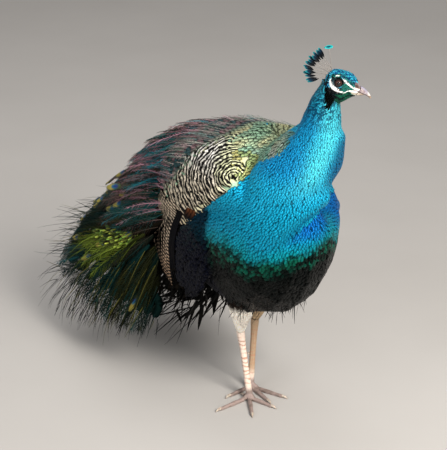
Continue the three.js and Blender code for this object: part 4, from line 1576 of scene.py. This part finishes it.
# Loose plumes over them, in two pieces
REAR_PIECE_BEHIND = -400
for name, at_rear in (("train_plumes_front", False), ("train_plumes_rear", True)):
    roots, normals = scatter_on(
        train_surface, 9000,
        lambda p: ((bird(p)[0] <= REAR_PIECE_BEHIND) == at_rear) & over_hem(p, 0), 22)
    gathered = Coat()
    room = (roots[:, 2] - hem(roots, DENSE_UP)) / MM
    lengths = np.minimum(rng.uniform(120, 200, len(roots)), room * 0.9 + 90) * MM
    plumes(gathered, train_surface, roots, normals, lengths, rng.uniform(20, 30, len(roots)) * MM, 44,
           train_colour(roots) * rng.uniform(0.7, 1.4, (len(roots), 1)), 7)
    gathered.piece(name, train_feathers, "train_plumage")


# Eyes of the train: a gold end, with copper, blue green and a dark blue heart above it
def ring_colours(across, along):
    """across from -1 to 1, along from 0 at the root's end to 1."""
    heart = np.hypot(across / 0.42, (along - 0.30) / 0.13)
    blue = np.hypot(across / 0.72, (along - 0.34) / 0.22)
    gold = np.hypot(across / 0.95, (along - 0.70) / 0.34)
    colour = mix((0.045, 0.060, 0.020), (0.012, 0.030, 0.020), ramp(np.abs(across), 0.6, 1.0))
    colour = mix(colour, (0.40, 0.33, 0.06), 1 - ramp(gold, 0.75, 1.15))
    colour = mix(colour, (0.006, 0.14, 0.24), 1 - ramp(blue, 0.8, 1.1))
    return mix(colour, (0.020, 0.018, 0.20), 1 - ramp(heart, 0.75, 1.1))


VANE_COLUMNS = 7


def vane_sheets(points, normals, half, shape, colour_of, thick, cup):
    """Wide vanes with several columns: all that Coat.extend() takes."""
    blades, rings = points.shape[:2]
    shares = np.linspace(0, 1, rings)
    across = np.linspace(-1, 1, VANE_COLUMNS)
    along_way = unit(np.gradient(points, axis=1))
    side = unit(np.cross(along_way, normals))
    above = np.cross(side, along_way)
    out = across[None, None] * (half[:, None] * shape[None])[:, :, None]
    top = points[:, :, None] + side[:, :, None] * out[..., None]
    hollow = (across ** 2 * cup)[None, None, :, None] * half[:, None, None, None]
    top = top - above[:, :, None] * hollow
    low = top - above[:, :, None] * thick
    verts = np.concatenate([top, low[:, :, ::-1]], 2)
    a, s = np.meshgrid(across, shares)
    one = colour_of(a, s)
    colours = np.concatenate([one, one[:, ::-1] * 0.6], 1)
    colours = np.repeat(colours[None], blades, 0) * rng.uniform(0.8, 1.2, (blades, 1, 1, 1))
    sides = VANE_COLUMNS * 2
    faces = strip_faces(blades, rings, sides)
    caps = np.array([[j, j + 1, sides - 2 - j, sides - 1 - j] for j in range(VANE_COLUMNS - 1)])
    last = (rings - 1) * sides
    starts = (np.arange(blades) * rings * sides)[:, None, None]
    faces = np.concatenate([faces, (caps[:, ::-1] + starts).reshape(-1, 4),
                            (caps + last + starts).reshape(-1, 4)])
    centre, size = sheet_places(points[:, 0])
    local = np.stack([a * 0.47, s - 0.5], -1)
    local = np.concatenate([local, local[:, ::-1]], 1)
    bake = centre[:, None, None] + local[None] * size
    length = np.linalg.norm(np.diff(points, axis=1), axis=-1).sum(1)
    vane = np.stack([np.concatenate([out, out[:, :, ::-1]], 2),
                     np.broadcast_to((shares[None] * length[:, None])[:, :, None],
                                     (blades, rings, sides))], -1)
    return verts.reshape(-1, 3), faces, colours, vane, bake, np.zeros(blades * rings * sides)


def eyes_at_ends(points, over, wide, start):
    """Eyes on the last part of plumes, whose shafts and normals are given."""
    s = np.linspace(start, 1, 9) * (points.shape[1] - 1)
    low = np.minimum(s.astype(int), points.shape[1] - 2)
    part = (s - low)[None, :, None]
    ends = points[:, low] * (1 - part) + points[:, low + 1] * part
    tops = unit(over[:, low] * (1 - part) + over[:, low + 1] * part)
    shape = np.sqrt(np.clip(1 - ((np.linspace(0, 1, 9) - 0.55) / 0.6) ** 2, 0.04, 1))
    half = rng.uniform(0.85, 1.15, len(points)) * wide * MM
    return vane_sheets(within_box(ends + tops * 3.2 * MM), tops, half, shape, ring_colours, 0.5 * MM, 0.5)


def has_eye(points):
    forward = bird(points)[0]
    return (points[:, 2] > hem(points, DENSE_UP) + 70 * MM) & (forward < -190) & (forward > -440)


eyes_coat, fringe = Coat(), Coat()
roots, normals = scatter_on(train_surface, 9000, has_eye, 62)
points, over = plumes(fringe, train_surface, roots, normals, rng.uniform(80, 120, len(roots)) * MM,
                      np.full(len(roots), 0.016), 30, train_colour(roots) * 1.2, 6)
eyes_coat.extend(*eyes_at_ends(points, over, 8.0, 0.58))


# Tufts that stand off the train's upper side and droop at their ends
def has_tuft(points):
    forward, left, up = bird(points)
    ridge = np.interp(forward, [-592, -492, -392, -342, -264], [206, 324, 422, 472, 490])
    return (up > ridge - 80) & (forward > -400) & (forward < -165) & (left < 40)


roots, normals = scatter_on(train_surface, 9000, has_tuft, 25)
points, over = plumes(fringe, train_surface, roots, normals, rng.uniform(100, 165, len(roots)) * MM,
                      rng.uniform(16, 24, len(roots)) * MM, 40,
                      train_colour(roots) * rng.uniform(0.8, 1.9, (len(roots), 1)), 36, sag=22)
chosen = rng.random(len(roots)) < 0.3
eyes_coat.extend(*eyes_at_ends(points[chosen], over[chosen], 8.0, 0.68))
eyes_coat.piece("train_eyes", glossy, "train_plumage")
fringe.piece("train_tufts", train_feathers, "train_plumage")
fringe = Coat()


# Small gold green scales on the flank of the train, each lighter or darker at random and lighter towards
# its tip as painted glints
def is_gold(points):
    forward, left, up = bird(points)
    along, over = forward - GOLD_PATCH[0], up - GOLD_PATCH[1]
    gap = np.hypot(along / 78, (over - GOLD_SLOPE * along) / 22)
    gap += 0.3 * waves(points, 0.02, 55) + 0.2 * waves(points, 0.008, 56)
    return (gap < 0.85) & (np.abs(left - TRAIN_LEFT) > 95)


roots, normals = scatter_on(train_surface, 60000, is_gold, 6.5)
shares, widths = SCALE
points, over = drape(train_surface, roots, turned(train_flow(roots), normals, 18),
                     np.full(len(roots), 13 * MM), shares, train_steer)
lift = (7 + 3 * shares)[None, :, None] + rng.uniform(-3, 3, (len(roots), 1, 1))
points = points + over * lift * MM
painted_glints = mix((0.75, 0.85, 0.12), (0.16, 0.42, 0.06), rng.random(len(roots)))
painted_glints = (painted_glints * rng.uniform(0.1, 1.3, (len(roots), 1)) ** 1.6)[:, None]
painted_glints = painted_glints * (0.35 + 0.65 * shares)[None, :, None]
half = np.outer(rng.uniform(2.0, 3.4, len(roots)) * MM, widths)
gold_scales = Coat()
gold_scales.add(within_box(points), over, half, np.full(half.shape, 0.3 * MM), painted_glints, painted_glints * 0.5,
                camber=0.1)
gold_scales.piece("train_gold", glossy, "train_plumage")


HANGING_RINGS = 6


def hanging(gathered, roots, ways, lengths, colours, half, fall, spread):
    """Free ends that start along their way and sink under their own weight."""
    shares = np.linspace(0, 1, HANGING_RINGS)
    points = roots[:, None] + ways[:, None] * (lengths[:, None] * shares)[..., None]
    points[..., 2] -= fall[:, None] * lengths[:, None] * shares ** 2
    swing = rng.normal(0, 1, (len(roots), 1, 3)) * spread * lengths[:, None, None]
    points = points + swing * (shares ** 2)[None, :, None]
    normals = unit(roots - under_train(roots))[:, None] * np.ones((1, HANGING_RINGS, 1))
    strands(gathered, points, normals, half, half * 0.7, colours)


roots, normals = scatter_on(
    train_surface, 20000,
    lambda p: (bird(p)[2] < 330) & (p[:, 2] > hem(p) + 0.03) & (bird(p)[0] > -670), 11)
count = len(roots)
forward = bird(roots)[0]
colours = train_colour(roots) * rng.uniform(0.5, 1.3, (count, 1))
is_gilt = (rng.random(count) < 0.12)[:, None]
gilt = np.array([0.16, 0.15, 0.035]) * rng.uniform(0.5, 1.3, (count, 1))
colours = np.where(is_gilt, gilt, colours)
ways = train_flow(roots) + normals * rng.uniform(0.0, 0.25, (count, 1))
ways = unit(ways + rng.normal(0, 0.12, (count, 3)))
lengths = rng.uniform(60, 150, count) * MM
room = roots[:, 2] - hem(roots)
keep = rng.random(count) < np.interp(forward, [-640, -520, -440], [0.10, 0.22, 1.0])
roots, ways, colours, lengths, room = (v[keep] for v in (roots, ways, colours, lengths, room))
count = len(roots)
hanging(fringe, roots, ways, np.minimum(lengths, room * rng.uniform(0.6, 1.15, count)), colours,
        rng.uniform(0.5, 1.1, count) * MM, rng.uniform(0.0, 0.35, count), spread=0.05)


# Teal stragglers at the rear of the flank
def is_straggler(points):
    forward, left, up = bird(points)
    along = (forward < -425) & (forward > -520)
    return along & (up > 205) & (up < 300) & (np.abs(left + 20) > 90)


roots, normals = scatter_on(train_surface, 9000, is_straggler, 24)
plumes(fringe, train_surface, roots, normals, rng.uniform(60, 130, len(roots)) * MM,
       rng.uniform(9, 15, len(roots)) * MM, 22,
       np.array([[0.012, 0.10, 0.115]]) * rng.uniform(0.6, 1.4, (len(roots), 1)), 14)
fringe.piece("train_fringe", train_feathers, "train_plumage")

# ---- loose streaked plumes of the back, from the mantle over the front of the train

def is_back(points):
    forward, left, up = bird(points)
    behind = forward < barred_rear(up) + np.where(np.abs(left) > 58, 8, -10)
    return behind & (forward > -300) & (up > 440)


def back_flow(points):
    way = train_flow(points)
    way[..., 2] *= 0.5
    way[..., 0] += np.where(bird(points)[1] > -8, 0.12, -0.12)
    return unit(way)


def back_steer(spots, ways):
    return unit(ways * 0.7 + back_flow(spots) * 0.3)


def back_streaks(points):
    count = len(points)
    draw = rng.random(count) + 0.12 * waves(points, 0.04, 41)
    colour = np.where((draw < 0.36)[:, None], (0.48, 0.25, 0.31), (0.025, 0.22, 0.28))
    colour = np.where((draw > 0.52)[:, None], (0.006, 0.008, 0.008), colour)
    colour = mix(colour, (0.32, 0.38, 0.31), ramp(bird(points)[0], -100, 10) * 0.7)
    return colour * rng.uniform(0.5, 1.5, (count, 1))


roots, normals = scatter_on(rear_surface, 60000, is_back, 10.5)
back_plumes = Coat()
plumes(back_plumes, rear_surface, roots, normals, rng.uniform(60, 120, len(roots)) * MM,
       rng.uniform(4, 8, len(roots)) * MM, 14, back_streaks(roots), 9, back_steer, back_flow)
back_plumes.piece("coat_back", train_feathers, "train_plumage")


# long plumes that carry the coat of the back on over the start of the train
def is_seam(points):
    forward, _, up = bird(points)
    return (forward < -120) & (forward > -236) & (up > 385)


roots, normals = scatter_on(rear_surface, 30000, is_seam, 13)
colours = mix(back_streaks(roots), train_colour(roots) * 1.6, ramp(rng.random(len(roots)), 0.35, 0.8))
bridging = Coat()
plumes(bridging, rear_surface, roots, normals, rng.uniform(95, 165, len(roots)) * MM,
       rng.uniform(8, 14, len(roots)) * MM, 24, colours, 7, back_steer, back_flow, follow=bridge)
bridging.piece("coat_rump", train_feathers, "train_plumage")

# ------------------------------------------------------------------ tail, spikes and loose ends

# A fan of long feathers, from the vent down inside the train
TAIL_COUNT = 16
shares, widths = LONG
fan = np.linspace(-1, 1, TAIL_COUNT)[:, None]
s = shares[None]
back = 262 + rng.uniform(215, 290, (TAIL_COUNT, 1)) * s + 10 * np.abs(fan) * s
points = place(-back, -30 * s + fan * (12 + 95 * s ** 0.8),
               436 - 30 * s * np.abs(fan) - 290 * s ** 1.15)
normals = np.broadcast_to(unit(np.array([0.0, 0.6, 0.8])), points.shape).copy()
normals[..., 0] += 0.25 * fan
normals = unit(normals)
points = points - normals * (np.abs(fan) * 4 * MM)[..., None]
dark = np.broadcast_to((0.012, 0.009, 0.007), points.shape)
half = np.broadcast_to(widths * 17 * MM, points.shape[:2])
tail = Coat()
tail.add(points, normals, half, np.full(half.shape, 0.6 * MM), dark, dark * 0.7, own=True, camber=0.1)


def falling_ways(count, sideways, back, down):
    """Ways with a normal spread sideways, and even ones to the rear and down."""
    return np.stack([rng.normal(*sideways, count), rng.uniform(*back, count),
                     rng.uniform(*down, count)], -1)


SPIKE_OUTLINE = np.array([0.5, 0.8, 1.0, 0.95, 0.8, 0.5, 0.08])
SPIKE_COLOUR = (0.004, 0.0038, 0.0035)


def spikes(gathered, roots, ways, lengths, half, fall):
    """Stiff dark pointed ends that spread from under the train."""
    s = np.linspace(0, 1, len(SPIKE_OUTLINE))
    points = roots[:, None] + ways[:, None] * (lengths[:, None] * s)[..., None]
    points[..., 2] -= fall[:, None] * lengths[:, None] * s ** 2
    points[..., 2] = np.maximum(points[..., 2], 0.004)
    # none whose tip would stand out beside the train
    inside = np.abs(bird(points[:, -1])[1] - TRAIN_LEFT) < 145
    points = points[inside]
    width = np.outer(half[inside], SPIKE_OUTLINE)
    colour = np.broadcast_to(SPIKE_COLOUR, points.shape) * rng.uniform(0.5, 1.5, (len(points), 1, 1))
    normals = np.broadcast_to(UP, points.shape) + 0.4 * rng.normal(size=(len(points), 1, 3))
    gathered.add(within_box(points), unit(normals), width, width * 0.15 + 0.0002, colour, colour * 0.8)


count = 230
forward = rng.uniform(-470, -130, count)
left = rng.uniform(-150, 110, count) * np.interp(forward, [-470, -300, -130], [1, 0.85, 0.55])
up = np.interp(forward, TRAIN_FORWARD, HEM_UP) + rng.uniform(40, 110, count)
ways = unit(falling_ways(count, (-0.05, 0.28), (0.2, 1.3), (-0.75, -0.15)))
spikes(tail, place(forward, left, up), ways, rng.uniform(70, 150, count) * MM,
       rng.uniform(1.6, 3.6, count) * MM, rng.uniform(-0.1, 0.3, count))
# the loose dark feathers that close the gap between the belly and the train
count = 150
forward = rng.uniform(-300, -30, count)
roots = place(forward, rng.uniform(-118, 95, count), rng.uniform(225, 310, count))
ways = unit(falling_ways(count, (0, 0.2), (0.3, 0.9), (-1.0, -0.6)))
spikes(tail, roots, ways, rng.uniform(60, 105, count) * MM, rng.uniform(3.5, 7.0, count) * MM,
       rng.uniform(0, 0.2, count))
# broad black feathers inside the train, behind its flanks
count = 90
left = rng.uniform(-80, 40, count)
roots = place(-rng.uniform(90, 360, count), left, rng.uniform(290, 400, count))
ways = unit(falling_ways(count, (0, 0.2), (0.1, 0.7), (-1.0, -0.7)))
spikes(tail, roots, ways, rng.uniform(90, 150, count) * MM, rng.uniform(8, 13, count) * MM,
       rng.uniform(0, 0.2, count))
tail.piece("tail_feathers", jet, "tail_plumage", "tail")

# Wisps that hang from the belly and the flanks
wisps = Coat()


def has_wisp(points):
    forward, left, up = bird(points)
    apart = np.hypot(forward - 30, left) > 70
    return (up < 285) & (up > 215) & (forward < 165) & (forward > -240) & apart


roots, normals = scatter_on(body_surface, 30000, has_wisp, 15)
count = len(roots)
colours = np.array([[0.003, 0.0035, 0.0035]]) * rng.uniform(0.5, 2, (count, 1))
ways = unit(falling_ways(count, (0, 0.25), (0.1, 0.9), (-1, -0.5)) + normals * 0.35)
hanging(wisps, roots - normals * 3 * MM, ways, rng.uniform(10, 36, count) * MM, colours,
        rng.uniform(0.5, 1.2, count) * MM, rng.uniform(0.0, 0.4, count), spread=0.12)
wisps.piece("coat_wisps", jet, "dark_plumage")

# ------------------------------------------------------------------ crest

CREST_PLUMES = 14
CREST_MIDDLE = np.array([-18, 0, 15])
CREST_LOWEST, CREST_HIGHEST = 202, 112  # degrees from the bill up and back
crest = Coat()
shafts, tips = [], []
for i in range(CREST_PLUMES):
    share = i / (CREST_PLUMES - 1)
    angle = math.radians(CREST_LOWEST + (CREST_HIGHEST - CREST_LOWEST) * share + rng.normal(0, 1.6))
    reach = 45 + 9 * share + rng.normal(0, 1.6)
    root = np.array([-23 + 11 * share, rng.normal(0, 1.0), 7 + 14 * share])
    tip = CREST_MIDDLE + [reach * math.cos(angle), rng.normal(0, 3.0), reach * math.sin(angle)]
    way = (tip - root) / np.linalg.norm(tip - root)
    curl = np.array([-way[2], 0, way[0]]) * 4.0
    s = np.linspace(0, 1, 8)[:, None]
    shafts.append(root - way * 3 + (tip - root - way * 2) * s + curl * (s ** 2 - s))
    length = rng.uniform(18, 23)
    tips.append((tip - way * length, way * length, rng.uniform(2.6, 3.7)))
# one more plume stands apart, its vane turned across its shaft
stem = np.array([-12, 0, 18])
s = np.linspace(0, 1, 8)[:, None]
shafts.append(stem + np.array([-7, 0, 47]) * s)
tips.append((stem + np.array([-16, 0, 47.5]), np.array([17.0, 0, 2.5]), 3.8))


def head_points(local):
    return BETWEEN_EYES + (local[..., :1] * HEAD_FRONT + local[..., 1:2] * HEAD_LEFT
                           + local[..., 2:] * UP) * MM


points = head_points(np.array(shafts))
flat = np.broadcast_to(HEAD_LEFT, points.shape)
grey = np.broadcast_to((0.42, 0.38, 0.35), points.shape)
half = np.broadcast_to(np.linspace(0.62, 0.42, 8) * MM, points.shape[:2])
crest.add(points, flat, half, half * 0.9, grey, grey * 0.8, camber=0)
s = np.linspace(0, 1, 9)
points = head_points(np.array([start + way * s[:, None] for start, way, _ in tips]))


def crest_colours(across, along):
    fringe = np.maximum(ramp(along, 0.82, 1.0), ramp(across, 0.6, 1.0) * ramp(along, 0.45, 0.8))
    colour = mix((0.002, 0.004, 0.007), (0.002, 0.03, 0.07), ramp(along, 0.4, 0.8))
    return mix(colour, (0.015, 0.62, 0.66), fringe * 0.8)


vane_shape = np.array([0.12, 0.45, 0.75, 0.93, 1.0, 1.0, 0.92, 0.7, 0.3])
turn = rng.normal(0, 0.5, (len(tips), 1, 1))
vane_normals = unit(np.broadcast_to(HEAD_LEFT, points.shape) + turn * HEAD_FRONT * 0.5)
halves = np.array([half for _, _, half in tips]) * MM


def lone_colours(across, along):
    heart = np.hypot(across / 0.6, (along - 0.5) / 0.3)
    return mix((0.004, 0.05, 0.12), (0.02, 0.70, 0.72), ramp(heart, 0.7, 1.2))


for some, colour_of in ((slice(None, -1), crest_colours), (slice(-1, None), lone_colours)):
    crest.extend(*vane_sheets(points[some], vane_normals[some], halves[some], vane_shape, colour_of,
                              0.45 * MM, 0.2))
crest.piece("crest_plumes", glossy, "crest_plumage", "crest")

# ------------------------------------------------------------------ eyes, bill, claws and spurs

def eye_material():
    """A wet dark eye in the tint of its pupil and iris."""
    nodes = Nodes("eye")
    grain = nodes.noise(2600, 3)
    shade = nodes.math("MULTIPLY_ADD", grain, 0.9, 0.55)
    nodes.set(Base_Color=nodes.mixed(1.0, nodes.tint(), shade, "MULTIPLY"), Roughness=0.2,
              Specular_IOR_Level=0.1, Coat_Weight=0.6, Coat_Roughness=0.02)
    return nodes.material


eye_look = eye_material()
AROUND, DOWN = 56, 36
for side_name, sign in (("left", 1), ("right", -1)):
    low, high = (np.array(v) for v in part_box(f"eye_{side_name}"))
    radius = float((high - low).min() / 2)
    turn_angle, fall_angle = np.meshgrid(np.linspace(0, 2 * math.pi, AROUND, endpoint=False),
                                         np.linspace(0.02, math.pi - 0.02, DOWN))
    out = HEAD_LEFT * sign
    bulge = 1 + 0.09 * (1 - ramp(fall_angle, 0.35, 0.95))
    aside = np.sin(fall_angle)
    balls = (out * np.cos(fall_angle)[..., None]
             + HEAD_FRONT * (aside * np.cos(turn_angle))[..., None]
             + UP * (aside * np.sin(turn_angle))[..., None]) * (radius * bulge)[..., None]
    verts = (EYES[side_name] + balls).reshape(-1, 3)
    j, i = np.meshgrid(np.arange(AROUND), np.arange(DOWN - 1))
    a, b = (i * AROUND + j).ravel(), (i * AROUND + (j + 1) % AROUND).ravel()
    faces = np.stack([a, a + AROUND, b + AROUND, b], 1)[:, ::sign]
    wide = aside * radius / MM
    wide = np.where(fall_angle > math.pi / 2, 99, wide).ravel()
    colour = mix((0.002, 0.002, 0.002), (0.045, 0.013, 0.008), ramp(wide, 3.0, 3.8))
    colour = mix(colour, (0.016, 0.007, 0.006), ramp(wide, 4.6, 6.2))
    colour = mix(colour, (0.003, 0.003, 0.003), ramp(wide, 6.2, 7.2))
    mesh = make_mesh(f"eye_{side_name}_ball", verts, faces)
    tint(mesh, colour)
    piece(f"eyeball_{side_name}", mesh, eye_look, "eye", f"eye_{side_name}")


def horn_material(name, roughness, scale):
    """Horn with fine growth lines."""
    nodes = Nodes(name)
    streak = nodes.noise(scale, 4, 0.6)
    shade = nodes.math("MULTIPLY_ADD", streak, 0.35, 0.82)
    nodes.set(Base_Color=nodes.mixed(1.0, nodes.tint(), shade, "MULTIPLY"), Roughness=roughness,
              Subsurface_Weight=0.05, Subsurface_Scale=0.002, Coat_Weight=0.15, Coat_Roughness=0.3)
    nodes.bump(streak, BARB_RELIEF)
    return nodes.material


def horn_piece(name, nodes, voxel, rounds, paint, material, slot):
    mesh = shell(nodes, voxel, rounds, grow=0.1 * MM)
    verts, normals, _ = arrays(mesh)
    verts = sculpted(verts, normals)
    set_verts(mesh, verts)
    tint(mesh, paint(verts))
    piece(name, mesh, material, slot, *nodes)


bill_look = horn_material("bill_horn", 0.42, 500)
horn_piece("bill_upper_horn", ["bill_upper"], 0.55 * MM, 10, horn_colour, bill_look, "bill_horn")
horn_piece("bill_lower_horn", ["bill_lower"], 0.55 * MM, 8, horn_colour, bill_look, "bill_horn")

CLAWS = [name for name in frame["nodes"] if name.startswith(("claw_", "spur_"))]


def claw_paint(points):
    fleck = waves(points, 0.004, 61)
    colour = mix((0.52, 0.44, 0.36), (0.36, 0.29, 0.23), ramp(fleck, -0.5, 0.8))
    return mix(colour, (0.10, 0.08, 0.07), ramp(-points[:, 2], -0.006, 0.0) * 0.5)


horn_look = horn_material("claw_horn", 0.4, 700)
horn_piece("claw_horns", CLAWS, 0.6 * MM, 4, claw_paint, horn_look, "horn")

# ------------------------------------------------------------------ camera, light and floor

CAMERA_ELEVATION = 22.0
CAMERA_DISTANCE = 4.2
CAMERA_AIM = (-59.4, 375.1)  # millimetres to the right and up from the floor between the feet
SENSOR = 36.0
FRAME_WIDTH = 447 * 0.0022  # metres across the frame at the bird

azimuth, elevation = math.radians(CAMERA_AZIMUTH), math.radians(CAMERA_ELEVATION)
camera_back = np.array([math.sin(azimuth) * math.cos(elevation),
                        -math.cos(azimuth) * math.cos(elevation), math.sin(elevation)])
camera_right = np.array([math.cos(azimuth), math.sin(azimuth), 0.0])
camera_up = np.cross(camera_back, camera_right)
aim = FLOOR_POINT + (camera_right * CAMERA_AIM[0] + camera_up * CAMERA_AIM[1]) * MM
camera_data = bpy.data.cameras.new("camera")
camera = bpy.data.objects.new("camera", camera_data)
bpy.context.scene.collection.objects.link(camera)
camera_data.sensor_fit = "HORIZONTAL"
camera_data.sensor_width = SENSOR
camera_data.lens = SENSOR * CAMERA_DISTANCE / FRAME_WIDTH
camera_data.clip_end = 50
camera.location = Vector(aim + camera_back * CAMERA_DISTANCE)
camera.rotation_mode = "QUATERNION"
camera.rotation_quaternion = Vector(-camera_back).to_track_quat("-Z", "Y")
bpy.context.scene.camera = camera


def area_light(name, azimuth, elevation, distance, size, power, colour):
    data = bpy.data.lights.new(name, "AREA")
    data.shape = "DISK"
    data.size = size
    data.energy = power
    data.color = colour
    light = bpy.data.objects.new(name, data)
    bpy.context.scene.collection.objects.link(light)
    a, e = math.radians(azimuth), math.radians(elevation)
    way = Vector((math.sin(a) * math.cos(e), -math.cos(a) * math.cos(e), math.sin(e)))
    light.location = Vector(place(0, 0, 420)) + way * distance
    light.rotation_mode = "QUATERNION"
    light.rotation_quaternion = way.to_track_quat("Z", "Y")


area_light("key", -2, 36, 3.2, 1.3, 150, (1.0, 0.96, 0.90))
area_light("fill", -70, 24, 3.5, 2.4, 34, (0.93, 0.96, 1.0))
area_light("low", -20, 6, 3.2, 1.6, 26, (1.0, 0.97, 0.93))
area_light("back", 170, 50, 3.0, 1.6, 22, (1.0, 0.98, 0.96))

world = bpy.data.worlds.new("studio")
bpy.context.scene.world = world
world.use_nodes = True
world.node_tree.nodes["Background"].inputs["Color"].default_value = (0.78, 0.77, 0.76, 1)
world.node_tree.nodes["Background"].inputs["Strength"].default_value = 0.5
bpy.context.scene.view_settings.view_transform = "Standard"

floor = bpy.data.objects.new("floor", make_mesh(
    "floor", np.array([[-9, -9, 0], [9, -9, 0], [9, 9, 0], [-9, 9, 0]]), np.array([[0, 1, 2, 3]])))
bpy.context.scene.collection.objects.link(floor)
floor_nodes = Nodes("floor")
floor_grain = floor_nodes.noise(3, 4)
floor_nodes.set(Base_Color=floor_nodes.mixed(floor_grain, (0.44, 0.42, 0.40), (0.49, 0.47, 0.45)),
                Roughness=0.9)
floor.data.materials.append(floor_nodes.material)
